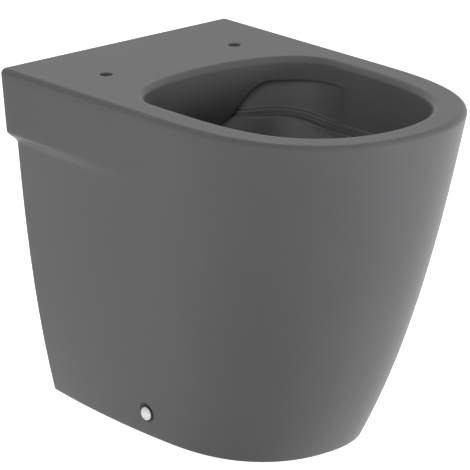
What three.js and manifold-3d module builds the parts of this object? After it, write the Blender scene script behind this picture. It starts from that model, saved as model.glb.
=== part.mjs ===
// A rimless back-to-wall WC pan in glazed ceramic, with the kit that fixes it to the floor
// and the two rubber seals that join it to the pipes.
//
// Millimetres, +Z up. The origin lies on the floor under the middle of the pan. The wall is
// at +Y, the front of the rim at -Y, and the pan is the same on both sides of X = 0.

import * as THREE from 'three';
import { mergeVertices } from 'three/addons/utils/BufferGeometryUtils.js';
import Module from 'manifold-3d';

const wasm = await Module();
wasm.setup();

// ------------------------------------------------------------------ driving dimensions

// Overall
const HEIGHT = 420; // floor to seat face
const LENGTH = 527; // front of the rim to the wall
const WIDTH = 354; // across the rim
const RIM_ROUND = 6.4; // rounding of the rim's outer edge
const REAR_ROUND = 2.4; // how far that rounding comes in at the wall
const MOUTH_ROUND = 7.8; // rounding of the opening's edge
const CLEARANCE = 0.3; // between pieces that touch

// Plan outline: a round front that meets long sides at the widest line
const WIDEST_FROM_WALL = 285; // at the seat face
const WIDEST_FROM_WALL_FLOOR = 218.5; // at the floor
const FRONT_POWER = 2.73; // 2 is an ellipse, more is squarer
const SIDE_POWER = 2.24;
const REAR_CORNER_RADIUS = 2.6;

// How far the skirt leans in from the seat face to the floor
const SIDE_RAKE = 57.2;
const SIDE_CURL = 15.8; // the part of the rake that gathers near the floor
const REAR_INSET = 15.4; // rear corner of the skirt inside the rim's side, at the seat face
const REAR_RAKE = 59.8;
const REAR_CURL = 25.2;
const FRONT_RAKE = 145.2;
const FRONT_BEND = 36.9;
const FRONT_CURL = 21.1;

// Upper box: at the back, the full width of the rim is carried down to a soft step
const BOX_HEIGHT = 77.5;
const BOX_DRAFT = 0.096; // millimetres in for each millimetre down
const STEP_HEIGHT = 18;

// Ceramic sections
const SKIRT_WALL = 11;
const DECK_THICKNESS = 16;
const COVING = 23; // extra thickness where the skirt meets the deck
const FRONT_BLOCK = 14; // extra thickness behind the front of the rim
const FOOT_WIDTH = 18;
const FOOT_HEIGHT = 12;
const FOOT_RADIUS = 2;
const BOWL_WALL = 10;

// Opening in the seat face
const RIM_SIDE = 31.5; // rim's side to the opening's flat edge
const RIM_FRONT = 29.3;
const DECK_LENGTH = 152; // wall to opening
const OPENING_WIDEST_FROM_WALL = 241.4;
const OPENING_FRONT_POWER = 3.82;
const OPENING_REAR_POWER = 2.38;
const OPENING_SIDE_POWER = 2.03;

// Flush gallery under the opening: lip, recess, two shelves, and the chamber at the back
const LIP_DEPTH = 29;
const LIP_ROUND = 2.5;
const RECESS = 12;
const RECESS_STARTS = 272; // from the wall, where the recess begins to open
const RECESS_FULL = 180; // from the wall, where it has its full depth
const RECESS_FALL = 1.5; // from the lip's edge to the recess's back
const HOLLOW = 2.2; // hollow corner between the recess's back and the upper shelf
const CHAMBER = 22; // extra depth of the recess behind the deflector
const CHAMBER_ROOF = 20; // below the seat face
const CHAMBER_FLAT = 32; // half-width over which the chamber is deepest
const CHAMBER_REACH = 64; // half-width where it has narrowed to the recess
const SHELF_DEPTH_REAR = 61;
const SHELF_DEPTH_FRONT = 74;
const SHELF_FALL_STARTS = 166; // from the wall
const SHELF_FALL_ENDS = 236; // from the wall
const SHELF_PITCH = 7; // upper shelf edge to lower shelf edge
const SHELF_ROUND = 2.4;
const UPPER_SHELF = 2.2; // how far the upper shelf stands in from the wall
const SHELF_WIDTH = 5; // of the upper shelf, which the recess's back slopes down to
const LOWER_SHELF = 10; // how far the lower shelf stands in from the upper one
const CHAMBER_SHELF = 6; // the same where the shelves pass through the chamber
const GALLERY_SLOT = 8; // between the deflector's back and the lower shelf

// Deflector: the apron that hangs in front of the chamber and turns the water sideways
const DEFLECTOR_THICKNESS = 9;
const DEFLECTOR_DEPTH = 76.5;
const DEFLECTOR_FLAT = 24; // half-width over which it is deepest
const DEFLECTOR_REACH = 96; // half-width where it has risen to the lip

// Sump and trap
const SEAL_DEPTH = 50; // water held in the trap
const TRAP_BORE = 80;
const TRAP_WALL = 9;
const OUTLET_HEIGHT = 190;
const OUTLET_SETBACK = 60; // wall to the end of the outlet
const OUTLET_DIAMETER = 102;
const OUTLET_LENGTH = 44;
const OUTLET_BEAD = 2.5; // ring that the connector's fins pass over

// Flush inlet
const INLET_BELOW_SEAT = 58; // seat face to the inlet's axis
const INLET_SETBACK = 56;
const INLET_SOCKET = 55;
const INLET_SOCKET_DEPTH = 27;
const INLET_BORE = 44;
const INLET_WALL = 9;
const DUCT_WIDTH = 96; // where the inlet spreads into the chamber
const DUCT_HEIGHT = 26;
const DUCT_BELOW_ROOF = 2;

// Seat fixing holes
const SEAT_HOLE = 15;
const SEAT_HOLE_CHAMFER = 1;
const SEAT_HOLE_SPACING = 199.4;
const SEAT_HOLE_FROM_WALL = 103;

// Side fixings
const FIXING_FROM_WALL = 204;
const FIXING_HEIGHT = 31;
const POCKET_DIAMETER = 28; // round pocket that the cap sits in
const POCKET_DEPTH = 4;
const PAD_WIDTH = 46; // lug inside the skirt that the bracket bears on
const PAD_HEIGHT = 54;
const PAD_RADIUS = 10;
const FIXING_HOLE = 11.6;

// Fixing kit
const SCREW_DIAMETER = 6;
const SCREW_HEAD = 10;
const SCREW_HEAD_HEIGHT = 3.4;
const SCREW_TAIL = 6; // past the bracket's upright
const BUSH_FLANGE = 14.4;
const BUSH_FLANGE_THICKNESS = 2.4;
const BUSH_LENGTH = 15; // of the sleeve under the flange
const CAP_WALL = 1;
const CAP_DOME = 3.2; // rise of the dome above its skirt
const BRACKET_WIDTH = 38;
const BRACKET_FOOT = 40;
const BRACKET_UPRIGHT = 46;
const BRACKET_THICKNESS = 7;
const BRACKET_RIB = 3;
const BRACKET_FILLET = 5;
const BRACKET_SLOT = 12; // travel of the floor screw in its slot
const BRACKET_SLOT_OFFSET = 1; // past the middle of the foot
const ANCHOR_DIAMETER = 8;
const ANCHOR_HEAD = 13; // across the flats
const ANCHOR_HEAD_HEIGHT = 5.3;
const ANCHOR_CROWN = 1.2; // height of the chamfer on the head's corners
const WASHER_DIAMETER = 20;
const WASHER_THICKNESS = 1.6;

// Rubber seals
const SEAL_WALL = 3;
const SEAL_FIN = 3.5; // how far each fin stands out
const SEAL_FINS = 3;
const SEAL_LIP = 6; // width of the lip that bears on the end of the ceramic
const SEAL_MARGIN = 2; // plain sleeve before the first fin
const OUTLET_SEAL_LENGTH = 30;
const INLET_SEAL_FLANGE = 4;
const SEAL_END_GAP = 1; // seal's inner end to the socket's floor

// Facets
const FRONT_STEPS = 14; // widest line to front, each side
const SIDE_STEPS = 5;
const CORNER_STEPS = 2;
const OVAL_STEPS = 60;
const SHELL_STEPS = 36; // outside of the bowl, out of sight
const ROUND_STEPS = 24;
const PIPE_STEPS = 28; // outlet spigot and the collar over it
const TRAP_STEPS = 16;
const EDGE_STEPS = 3;
const SKIRT_ROWS = 6; // rings up the skirt, the step and the upper box
const STEP_ROWS = 6;
const BOX_ROWS = 2;

// ------------------------------------------------------------------ derived places

const WALL_Y = LENGTH / 2;
const FRONT_Y = -LENGTH / 2;
const OUTLET_END = WALL_Y - OUTLET_SETBACK;
const INLET_END = WALL_Y - INLET_SETBACK;
const FIXING_Y = WALL_Y - FIXING_FROM_WALL;
const TRAP_RADIUS = TRAP_BORE / 2;
const DIP_HEIGHT = OUTLET_HEIGHT - TRAP_BORE - SEAL_DEPTH; // axis of the trap's low run
const INLET_HEIGHT = HEIGHT - INLET_BELOW_SEAT;
const STEP_BOTTOM = HEIGHT - BOX_HEIGHT - STEP_HEIGHT;
const MOUTH_WALL = -MOUTH_ROUND; // the bowl's wall, measured out from the opening's flat edge
const PANEL_BACK = MOUTH_WALL + DEFLECTOR_THICKNESS;
const DUCT_Z = HEIGHT - CHAMBER_ROOF - DUCT_BELOW_ROOF - DUCT_HEIGHT / 2;
/** Trap centre line, as distance from the wall and height above the floor. */
const TRAP_LINE = [
  [246, DIP_HEIGHT],
  [208, DIP_HEIGHT],
  [174, DIP_HEIGHT + 13],
  [148, DIP_HEIGHT + 58],
  [131, OUTLET_HEIGHT - 20],
  [112, OUTLET_HEIGHT - 2],
  [88, OUTLET_HEIGHT],
  [OUTLET_SETBACK, OUTLET_HEIGHT],
];
const SIDES = [
  { side: -1, word: 'left' },
  { side: 1, word: 'right' },
];

// ------------------------------------------------------------------ solids and lofts

/** A closed geometry as a solid that can be joined and cut. */
function solid(geometry) {
  const bare = geometry.clone();
  for (const name of Object.keys(bare.attributes)) {
    if (name !== 'position') bare.deleteAttribute(name);
  }
  const merged = mergeVertices(bare, 1e-4);
  return new wasm.Manifold(new wasm.Mesh({
    numProp: 3,
    vertProperties: new Float32Array(merged.attributes.position.array),
    triVerts: new Uint32Array(merged.index.array),
  }));
}

/** A solid as a geometry again, flat shaded. */
function geometryOf(manifold) {
  const { vertProperties, triVerts } = manifold.getMesh();
  const geometry = new THREE.BufferGeometry();
  geometry.setAttribute('position', new THREE.BufferAttribute(vertProperties, 3));
  geometry.setIndex(new THREE.BufferAttribute(triVerts, 1));
  return geometry;
}

/** Skins a stack of rings, listed from the bottom up, each counter-clockwise from above. */
function loft(rings) {
  const count = rings[0].length;
  const positions = rings.flat().flatMap((p) => [p.x, p.y, p.z]);
  const indices = [];
  for (let r = 0; r + 1 < rings.length; r += 1) {
    for (let i = 0; i < count; i += 1) {
      const a = r * count + i;
      const b = r * count + ((i + 1) % count);
      indices.push(a, b, b + count, a, b + count, a + count);
    }
  }
  const cap = (start, flip) => {
    const ring = rings[start / count];
    const middle = ring.reduce((sum, p) => sum.add(p), new THREE.Vector3()).divideScalar(count);
    const centre = positions.length / 3;
    positions.push(middle.x, middle.y, middle.z);
    for (let i = 0; i < count; i += 1) {
      const a = start + i;
      const b = start + ((i + 1) % count);
      indices.push(...(flip ? [centre, b, a] : [centre, a, b]));
    }
  };
  cap(0, true);
  cap((rings.length - 1) * count, false);
  const geometry = new THREE.BufferGeometry();
  geometry.setAttribute('position', new THREE.Float32BufferAttribute(positions, 3));
  geometry.setIndex(indices);
  return geometry;
}

/** Revolves [radius, height] pairs about Z. The profile closes on itself or starts and ends at 0. */
function revolve(pairs, segments = ROUND_STEPS) {
  const profile = pairs.map(([radius, height]) => new THREE.Vector2(radius, height));
  const geometry = new THREE.LatheGeometry(profile, segments);
  return geometry.rotateX(Math.PI / 2);
}

/** The same closed ring profile, given once round and closed here. */
function revolveRing(pairs, segments = ROUND_STEPS) {
  return revolve([...pairs, pairs[0]], segments);
}

const smooth = (t) => {
  const u = THREE.MathUtils.clamp(t, 0, 1);
  return u * u * (3 - 2 * u);
};

const place = (geometry, x, y, z) => geometry.translate(x, y, z);

/** Even steps from just past one number to another. */
const between = (from, to, steps) => Array.from({ length: steps }, (_, i) => (
  THREE.MathUtils.lerp(from, to, (i + 1) / steps)));

// ------------------------------------------------------------------ skirt

/** Share of the way down from the rim's rounded edge to the floor. */
const down = (z) => Math.max(0, 1 - z / (HEIGHT - RIM_ROUND));

/** How far a face has leaned in, when part of its rake gathers near the floor. */
const lean = (s, rake, curl) => (rake - curl) * s + curl * s ** 3;

/** Plan sizes of the skirt's outside at one height. The step may be looked up at another. */
function skirtAt(z, stepZ = z) {
  const s = down(z);
  const side = WIDTH / 2 - lean(s, SIDE_RAKE, SIDE_CURL);
  const lower = WIDTH / 2 - REAR_INSET - lean(s, REAR_RAKE, REAR_CURL);
  const upper = WIDTH / 2 - BOX_DRAFT * Math.max(0, HEIGHT - RIM_ROUND - z);
  const box = smooth((stepZ - STEP_BOTTOM) / STEP_HEIGHT);
  const frontLean = (FRONT_RAKE - FRONT_BEND - FRONT_CURL) * s + FRONT_BEND * s ** 2;
  return {
    side,
    rear: THREE.MathUtils.lerp(lower, upper, box),
    wall: WALL_Y,
    front: FRONT_Y + frontLean + FRONT_CURL * s ** 4,
    widest: WALL_Y - THREE.MathUtils.lerp(WIDEST_FROM_WALL, WIDEST_FROM_WALL_FLOOR, s),
  };
}

/** Half-width of the skirt at a height and a distance along the pan, behind the widest line. */
function skirtHalfWidth(y, z) {
  const { side, rear, wall, widest } = skirtAt(z);
  const u = Math.max(0, (y - widest) / (wall - widest));
  return side - (side - rear) * u ** 2;
}

/** Brings a plan outline in at the sides and front, and moves its back edge on its own. */
function inset(plan, amount, wall) {
  return {
    ...plan,
    side: plan.side - amount,
    rear: plan.rear - amount,
    front: plan.front + amount,
    wall,
  };
}

/** The D-shaped ring of one plan, counter-clockwise from the front. */
function dRing(plan, z, corner = REAR_CORNER_RADIUS) {
  const { side, rear, wall, front, widest } = plan;
  const half = [];
  for (let i = 0; i <= FRONT_STEPS; i += 1) {
    const a = (i / FRONT_STEPS) * (Math.PI / 2);
    const x = side * Math.sin(a) ** (2 / SIDE_POWER);
    half.push([x, widest - (widest - front) * Math.cos(a) ** (2 / FRONT_POWER)]);
  }
  for (let i = 1; i <= SIDE_STEPS; i += 1) {
    const y = THREE.MathUtils.lerp(widest, wall - corner, i / SIDE_STEPS);
    const u = (y - widest) / (wall - corner - widest);
    half.push([side - (side - rear) * u ** 2, y]);
  }
  for (let i = 1; i <= CORNER_STEPS; i += 1) {
    const a = (i / CORNER_STEPS) * (Math.PI / 2);
    half.push([rear - corner * (1 - Math.cos(a)), wall - corner * (1 - Math.sin(a))]);
  }
  const mirrored = half.slice(1).reverse().map(([x, y]) => [-x, y]);
  return [...half, ...mirrored].map(([x, y]) => new THREE.Vector3(x, y, z));
}

/** The whole outside of the pan, as if it were solid. */
function skirtBody() {
  const heights = [
    FOOT_RADIUS,
    ...between(0, STEP_BOTTOM, SKIRT_ROWS),
    ...between(STEP_BOTTOM, HEIGHT - BOX_HEIGHT, STEP_ROWS),
    ...between(HEIGHT - BOX_HEIGHT, HEIGHT - RIM_ROUND, BOX_ROWS),
  ];
  const rings = [dRing(inset(skirtAt(0), FOOT_RADIUS, WALL_Y), 0)];
  for (const z of heights) rings.push(dRing(skirtAt(z), z));
  for (let i = 1; i <= EDGE_STEPS; i += 1) {
    const a = (i / EDGE_STEPS) * (Math.PI / 2);
    const share = 1 - Math.cos(a);
    const z = HEIGHT - RIM_ROUND * (1 - Math.sin(a));
    rings.push(dRing(inset(skirtAt(z), RIM_ROUND * share, WALL_Y - REAR_ROUND * share), z));
  }
  return solid(loft(rings));
}

/** The space inside the skirt, open to the floor and to the wall. */
function skirtCavity() {
  const past = 10; // beyond the floor and the wall
  const deckUnderside = HEIGHT - DECK_THICKNESS;
  const stepBottom = STEP_BOTTOM + SKIRT_WALL;
  const footTop = FOOT_HEIGHT + FOOT_WIDTH - SKIRT_WALL;
  const rows = [[-past, FOOT_WIDTH], [FOOT_HEIGHT, FOOT_WIDTH]];
  for (let i = 0; i <= 3; i += 1) {
    rows.push([THREE.MathUtils.lerp(footTop, stepBottom - COVING, i / 3), SKIRT_WALL]);
  }
  for (let i = 0; i <= 2; i += 1) rows.push([stepBottom + (i / 2) * STEP_HEIGHT, SKIRT_WALL]);
  for (let i = 0; i <= 2; i += 1) {
    rows.push([deckUnderside - COVING * (1 - i / 2), SKIRT_WALL + COVING * (i / 2) ** 2]);
  }
  const rings = rows.map(([z, wall]) => {
    const plan = inset(skirtAt(Math.max(z, 0), z - SKIRT_WALL), wall, WALL_Y + past);
    plan.front += FRONT_BLOCK * smooth((z - stepBottom + COVING) / COVING);
    return dRing(plan, z);
  });
  return solid(loft(rings));
}

// ------------------------------------------------------------------ bowl

/** One point of an oval, at an angle from +X, before any allowance. */
function ovalPoint(angle, size) {
  const c = Math.cos(angle);
  const s = Math.sin(angle);
  const power = s > 0 ? OPENING_REAR_POWER : OPENING_FRONT_POWER;
  const reach = s > 0 ? size.rear - size.middle : size.middle - size.front;
  const x = Math.sign(c) * size.side * Math.abs(c) ** (2 / OPENING_SIDE_POWER);
  const y = size.middle + Math.sign(s) * reach * Math.abs(s) ** (2 / power);
  return new THREE.Vector2(x, y);
}

const OPENING = {
  side: WIDTH / 2 - RIM_SIDE,
  front: FRONT_Y + RIM_FRONT,
  rear: WALL_Y - DECK_LENGTH,
  middle: WALL_Y - OPENING_WIDEST_FROM_WALL,
};

const grown = (size, by) => ({
  ...size,
  side: size.side + by,
  front: size.front - by,
  rear: size.rear + by,
});

/** Width and depth of the flush gallery at one angle, and how far it is the chamber's, 0 to 1. */
function galleryAt(angle) {
  const p = ovalPoint(angle, OPENING);
  const x = Math.abs(p.x);
  const fromWall = WALL_Y - p.y;
  const recess = smooth((RECESS_STARTS - fromWall) / (RECESS_STARTS - RECESS_FULL));
  const narrow = smooth((CHAMBER_REACH - x) / (CHAMBER_REACH - CHAMBER_FLAT));
  const behind = p.y > OPENING.middle ? narrow : 0;
  const fall = smooth((fromWall - SHELF_FALL_STARTS) / (SHELF_FALL_ENDS - SHELF_FALL_STARTS));
  return {
    recess: RECESS * recess + CHAMBER * behind,
    behind,
    shelf: THREE.MathUtils.lerp(SHELF_DEPTH_REAR, SHELF_DEPTH_FRONT, fall),
  };
}

/** Distance out from the opening and depth below the seat face of each line down the gallery. */
function galleryProfile(angle) {
  const { recess, behind, shelf } = galleryAt(angle);
  const back = MOUTH_WALL + recess;
  const lowerEdge = THREE.MathUtils.lerp(
    MOUTH_WALL - UPPER_SHELF - LOWER_SHELF,
    PANEL_BACK + GALLERY_SLOT,
    behind,
  );
  const upperEdge = THREE.MathUtils.lerp(
    MOUTH_WALL - UPPER_SHELF,
    lowerEdge + CHAMBER_SHELF,
    behind,
  );
  const lower = shelf + SHELF_PITCH;
  const shelfBack = Math.min(back, upperEdge + SHELF_WIDTH);
  const hollow = Math.min(HOLLOW, (shelfBack - upperEdge) / 2);
  const nose = Math.min(SHELF_ROUND, (shelfBack - upperEdge) / 2);
  const facet = 0.3; // share of a rounding at its middle facet
  const chamfer = Math.min(LIP_ROUND / 2, recess * facet);
  const fillet = [];
  for (let i = 0; i <= EDGE_STEPS; i += 1) {
    const a = (i / EDGE_STEPS) * (Math.PI / 2);
    fillet.push([-MOUTH_ROUND * Math.sin(a), MOUTH_ROUND * (1 - Math.cos(a))]);
  }
  const past = 2; // above the seat face
  return [
    [0, -past],
    ...fillet,
    [MOUTH_WALL, LIP_DEPTH - LIP_ROUND],
    [MOUTH_WALL + chamfer, LIP_DEPTH - LIP_ROUND * facet],
    [back, LIP_DEPTH + RECESS_FALL],
    [shelfBack, shelf - hollow],
    [shelfBack - hollow * facet, shelf - hollow * facet],
    [upperEdge + nose, shelf],
    [upperEdge + nose * facet, shelf + nose * facet],
    [upperEdge, shelf + nose],
    [upperEdge, lower - SHELF_ROUND / 2],
    [lowerEdge + SHELF_ROUND, lower],
    [lowerEdge + SHELF_ROUND * facet, lower + SHELF_ROUND * facet],
    [lowerEdge, lower + SHELF_ROUND],
  ];
}

/** Bowl below the gallery: height above the floor, half-width, distance to the wall of each end. */
const SUMP_FLOOR = DIP_HEIGHT - TRAP_RADIUS;
const BASIN = [
  [326, 119, 474, 163],
  [285, 108.5, 452, 168],
  [245, 95, 424, 174],
  [205, 78.5, 387, 182],
  [172, 64, 354, 190.5],
  [145, 54, 328, 198],
  [105, 46, 306, 205],
  [DIP_HEIGHT, TRAP_RADIUS + 1, 290, 214],
  [DIP_HEIGHT - TRAP_RADIUS * 0.55, TRAP_RADIUS * 0.86, 281, 220],
  [DIP_HEIGHT - TRAP_RADIUS * 0.88, TRAP_RADIUS * 0.5, 268, 230],
  [SUMP_FLOOR, TRAP_RADIUS * 0.2, 252, 240],
].map(([z, side, front, rear]) => ({
  z,
  side,
  front: WALL_Y - front,
  rear: WALL_Y - rear,
  middle: WALL_Y - (front * 0.45 + rear * 0.55),
}));

/** Angles once round. */
const turn = (steps) => Array.from({ length: steps }, (_, i) => (i / steps) * 2 * Math.PI);

/** The bowl's angles between two places on its back half, so that pieces share its facets. */
const backAngles = (reach) => turn(OVAL_STEPS)
  .filter((angle) => angle >= reach && angle <= Math.PI - reach);

/** A strip that follows the opening round the back: one closed section at each angle. */
function backStrip(angles, sectionAt) {
  return angles.map((angle) => sectionAt(angle).map(([out, depth]) => {
    const p = ovalPoint(angle, grown(OPENING, out));
    return new THREE.Vector3(p.x, p.y, HEIGHT - depth);
  }));
}

/** Rings of the bowl's inside, from the sump up. */
function bowlInside() {
  const angles = turn(OVAL_STEPS);
  const lines = angles.map(galleryProfile);
  const gallery = lines[0].map((_, row) => angles.map((angle, i) => {
    const [out, depth] = lines[i][row];
    const p = ovalPoint(angle, grown(OPENING, out));
    return new THREE.Vector3(p.x, p.y, HEIGHT - depth);
  }));
  const basin = BASIN.map((size) => angles.map((angle) => {
    const p = ovalPoint(angle, size);
    return new THREE.Vector3(p.x, p.y, size.z);
  }));
  return solid(loft([...gallery, ...basin].reverse()));
}

/** Outside of the bowl, one wall thickness away, with room for the gallery and the chamber. */
function bowlOutside() {
  const angles = turn(SHELL_STEPS);
  const rows = [2, LIP_DEPTH, SHELF_DEPTH_FRONT + SHELF_PITCH + BOWL_WALL];
  const gallery = rows.map((depth) => angles.map((angle) => {
    const out = galleryAt(angle).recess + MOUTH_WALL + BOWL_WALL;
    const p = ovalPoint(angle, grown(OPENING, out));
    return new THREE.Vector3(p.x, p.y, HEIGHT - depth);
  }));
  const basin = BASIN.slice(1).map((size) => angles.map((angle) => {
    const p = ovalPoint(angle, grown(size, BOWL_WALL));
    return new THREE.Vector3(p.x, p.y, size.z - BOWL_WALL / 2);
  }));
  return solid(loft([...gallery, ...basin].reverse()));
}

/** How deep the deflector hangs at a distance from the middle. */
function deflectorDepth(x) {
  const rise = smooth((x - DEFLECTOR_FLAT) / (DEFLECTOR_REACH - DEFLECTOR_FLAT));
  return THREE.MathUtils.lerp(DEFLECTOR_DEPTH, LIP_DEPTH, rise);
}

/** The apron in front of the chamber: a strip of the opening's wall with a rounded lower edge. */
function deflector() {
  const r = DEFLECTOR_THICKNESS / 2;
  const rooted = CHAMBER_ROOF - 6; // top of the strip, inside the deck
  const merged = 6; // past the place where it has risen to the lip
  const sections = backStrip(backAngles(ovalAngleAt(DEFLECTOR_REACH + merged)), (angle) => {
    const bottom = deflectorDepth(Math.abs(ovalPoint(angle, OPENING).x));
    const edge = turn(12).slice(0, 7).map((a) => [
      MOUTH_WALL + r + r * Math.cos(a),
      bottom - r + r * Math.sin(a),
    ]);
    return [[PANEL_BACK, rooted], ...edge, [MOUTH_WALL, rooted]];
  });
  return solid(loft(sections));
}

/** The angle at which the opening's back half is a given distance from the middle. */
function ovalAngleAt(x) {
  return Math.acos((x / OPENING.side) ** (OPENING_SIDE_POWER / 2));
}

/** The upper part of the chamber, above the lip and behind the deflector. */
function chamberTop() {
  const inside = 1; // the chamber's own walls, cut by the bowl, stand this far outside
  const bevel = 2;
  const near = PANEL_BACK + inside;
  const end = CHAMBER_REACH - 12; // it stops before the chamber narrows to nothing
  const foot = LIP_DEPTH + 6; // overlaps the recess below
  const sections = backStrip(backAngles(ovalAngleAt(end)), (angle) => {
    const far = MOUTH_WALL + galleryAt(angle).recess - inside;
    return [
      [near, CHAMBER_ROOF],
      [far - bevel, CHAMBER_ROOF],
      [far, CHAMBER_ROOF + bevel],
      [far, foot],
      [near, foot],
    ];
  });
  return solid(loft(sections));
}

// ------------------------------------------------------------------ trap, outlet and inlet

/** Centre line of the trap: out of the sump, under the dip, over the weir and out to the back. */
function trapPath() {
  const line = TRAP_LINE.map(([fromWall, height]) => (
    new THREE.Vector3(0, WALL_Y - fromWall, height)));
  return new THREE.CatmullRomCurve3(line);
}

function trapTube(radius, path, steps) {
  const circle = new THREE.Shape().absarc(0, 0, radius, 0, 2 * Math.PI, false);
  return solid(new THREE.ExtrudeGeometry(circle, {
    curveSegments: 11,
    steps,
    extrudePath: path,
  }));
}

/** Turns a shape revolved about Z so that its axis points to the wall, with its 0 at y. */
const alongWall = (geometry, y, z) => solid(place(geometry.rotateX(-Math.PI / 2), 0, y, z));

/** The outlet spigot that the soil pipe's connector pushes on to. */
function outletSpigot() {
  const r = OUTLET_DIAMETER / 2;
  const blend = 8; // from the trap's outside to the spigot's
  const beadFoot = OUTLET_LENGTH - 12;
  const beadTop = OUTLET_LENGTH - 8;
  const chamfer = 2;
  return alongWall(revolve([
    [0, 0],
    [TRAP_RADIUS + TRAP_WALL, 0],
    [r - OUTLET_BEAD, blend],
    [r - OUTLET_BEAD, beadFoot],
    [r, beadTop],
    [r, OUTLET_LENGTH - chamfer],
    [r - chamfer, OUTLET_LENGTH],
    [0, OUTLET_LENGTH],
  ], PIPE_STEPS), OUTLET_END - OUTLET_LENGTH, OUTLET_HEIGHT);
}

/** Length of the inlet horn from the chamber's back to its open end. */
const CHAMBER_BACK = OPENING.rear + MOUTH_WALL + RECESS + CHAMBER;
const HORN_LENGTH = INLET_END - CHAMBER_BACK;

function inletHorn() {
  const r = INLET_SOCKET / 2 + INLET_WALL;
  const chamfer = 3;
  return alongWall(revolve([
    [0, 0],
    [r - chamfer, 0],
    [r, 2 * chamfer],
    [r, HORN_LENGTH - chamfer],
    [r - chamfer, HORN_LENGTH],
    [0, HORN_LENGTH],
  ]), CHAMBER_BACK, INLET_HEIGHT);
}

/** A duct from the inlet's bore to the chamber's back, one wall thickness larger if asked. */
function ductLoft(wall, from, to, steps) {
  const rings = [];
  for (let i = 0; i <= steps; i += 1) {
    const t = smooth(i / steps);
    const y = THREE.MathUtils.lerp(from, to, i / steps);
    const half = THREE.MathUtils.lerp(INLET_BORE, DUCT_WIDTH, t) / 2 + wall;
    const tall = THREE.MathUtils.lerp(INLET_BORE, DUCT_HEIGHT, t) / 2 + wall;
    const z = THREE.MathUtils.lerp(INLET_HEIGHT, DUCT_Z, t);
    rings.push(turn(ROUND_STEPS).map((a) => (
      new THREE.Vector3(half * Math.cos(a), y, z + tall * Math.sin(a)))));
  }
  return solid(loft(rings));
}

/** The horn's bore: socket, throat, and a duct that flattens out into the chamber. */
function inletBore() {
  const past = 5; // beyond the open end
  const socketFloor = INLET_END - INLET_SOCKET_DEPTH;
  const socket = alongWall(revolve([
    [0, 0],
    [INLET_SOCKET / 2, 0],
    [INLET_SOCKET / 2, INLET_SOCKET_DEPTH + past],
    [0, INLET_SOCKET_DEPTH + past],
  ]), socketFloor, INLET_HEIGHT);
  const overlap = 1;
  const breakThrough = 8; // into the chamber
  return socket.add(ductLoft(0, socketFloor + overlap, CHAMBER_BACK - breakThrough, 6));
}

/** Ceramic round the duct, between the horn and the chamber's back. */
function ductShell() {
  const rooted = 4; // into the horn and into the bowl's wall
  const from = INLET_END - INLET_SOCKET_DEPTH - rooted;
  return ductLoft(INLET_WALL, from, CHAMBER_BACK - rooted, 4);
}

// ------------------------------------------------------------------ side fixings

/** Where the parts of one side fixing lie, measured out from the middle of the pan. */
const FIXING = (() => {
  const skin = skirtHalfWidth(FIXING_Y, FIXING_HEIGHT);
  const padFace = skirtHalfWidth(FIXING_Y, 0) - FOOT_WIDTH;
  const pocket = skin - POCKET_DEPTH;
  const flangeSeat = pocket + CLEARANCE;
  const flangeFace = flangeSeat + BUSH_FLANGE_THICKNESS;
  const bracketFace = padFace - CLEARANCE;
  return { skin, padFace, pocket, flangeSeat, flangeFace, bracketFace };
})();

/** Turns a shape revolved about Z so that its axis points out of one side of the pan. */
function alongSide(geometry, side, out) {
  const turned = geometry.rotateY((side * Math.PI) / 2);
  return place(turned, side * out, FIXING_Y, FIXING_HEIGHT);
}

function fixingPad(side) {
  const profile = new THREE.Shape();
  const r = PAD_RADIUS;
  profile.moveTo(-PAD_WIDTH / 2, 0);
  profile.lineTo(PAD_WIDTH / 2, 0);
  profile.lineTo(PAD_WIDTH / 2, PAD_HEIGHT - r);
  profile.absarc(PAD_WIDTH / 2 - r, PAD_HEIGHT - r, r, 0, Math.PI / 2, false);
  profile.absarc(r - PAD_WIDTH / 2, PAD_HEIGHT - r, r, Math.PI / 2, Math.PI, false);
  profile.closePath();
  const depth = FIXING.skin - SKIRT_WALL / 2 - FIXING.padFace;
  const block = new THREE.ExtrudeGeometry(profile, { depth, bevelEnabled: false, curveSegments: 5 });
  block.rotateX(Math.PI / 2).rotateZ(Math.PI / 2);
  const near = side > 0 ? FIXING.padFace : -FIXING.padFace - depth;
  return solid(place(block, near, FIXING_Y, 0));
}

/** A stepped drill: the fixing's hole, and the pocket round it with a little draft. */
function fixingHole(side) {
  const depth = FIXING.pocket - FIXING.padFace;
  const past = 2; // into the hollow
  const reach = POCKET_DEPTH + 12; // out past the skirt
  const draft = 1;
  return solid(alongSide(revolve([
    [0, -depth - past],
    [FIXING_HOLE / 2, -depth - past],
    [FIXING_HOLE / 2, 0],
    [POCKET_DIAMETER / 2, 0],
    [POCKET_DIAMETER / 2 + draft, reach],
    [0, reach],
  ], 20), side, FIXING.pocket));
}

/** A seat hole's drill, with its chamfer at the seat face. */
function seatHole(side) {
  const radius = SEAT_HOLE / 2;
  const past = 4; // above and below the deck
  const bore = revolve([
    [0, -DECK_THICKNESS - past],
    [radius, -DECK_THICKNESS - past],
    [radius, -SEAT_HOLE_CHAMFER],
    [radius + SEAT_HOLE_CHAMFER, 0],
    [radius + SEAT_HOLE_CHAMFER, past],
    [0, past],
  ]);
  return solid(place(bore, (side * SEAT_HOLE_SPACING) / 2, WALL_Y - SEAT_HOLE_FROM_WALL, HEIGHT));
}

// ------------------------------------------------------------------ the pan

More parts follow.
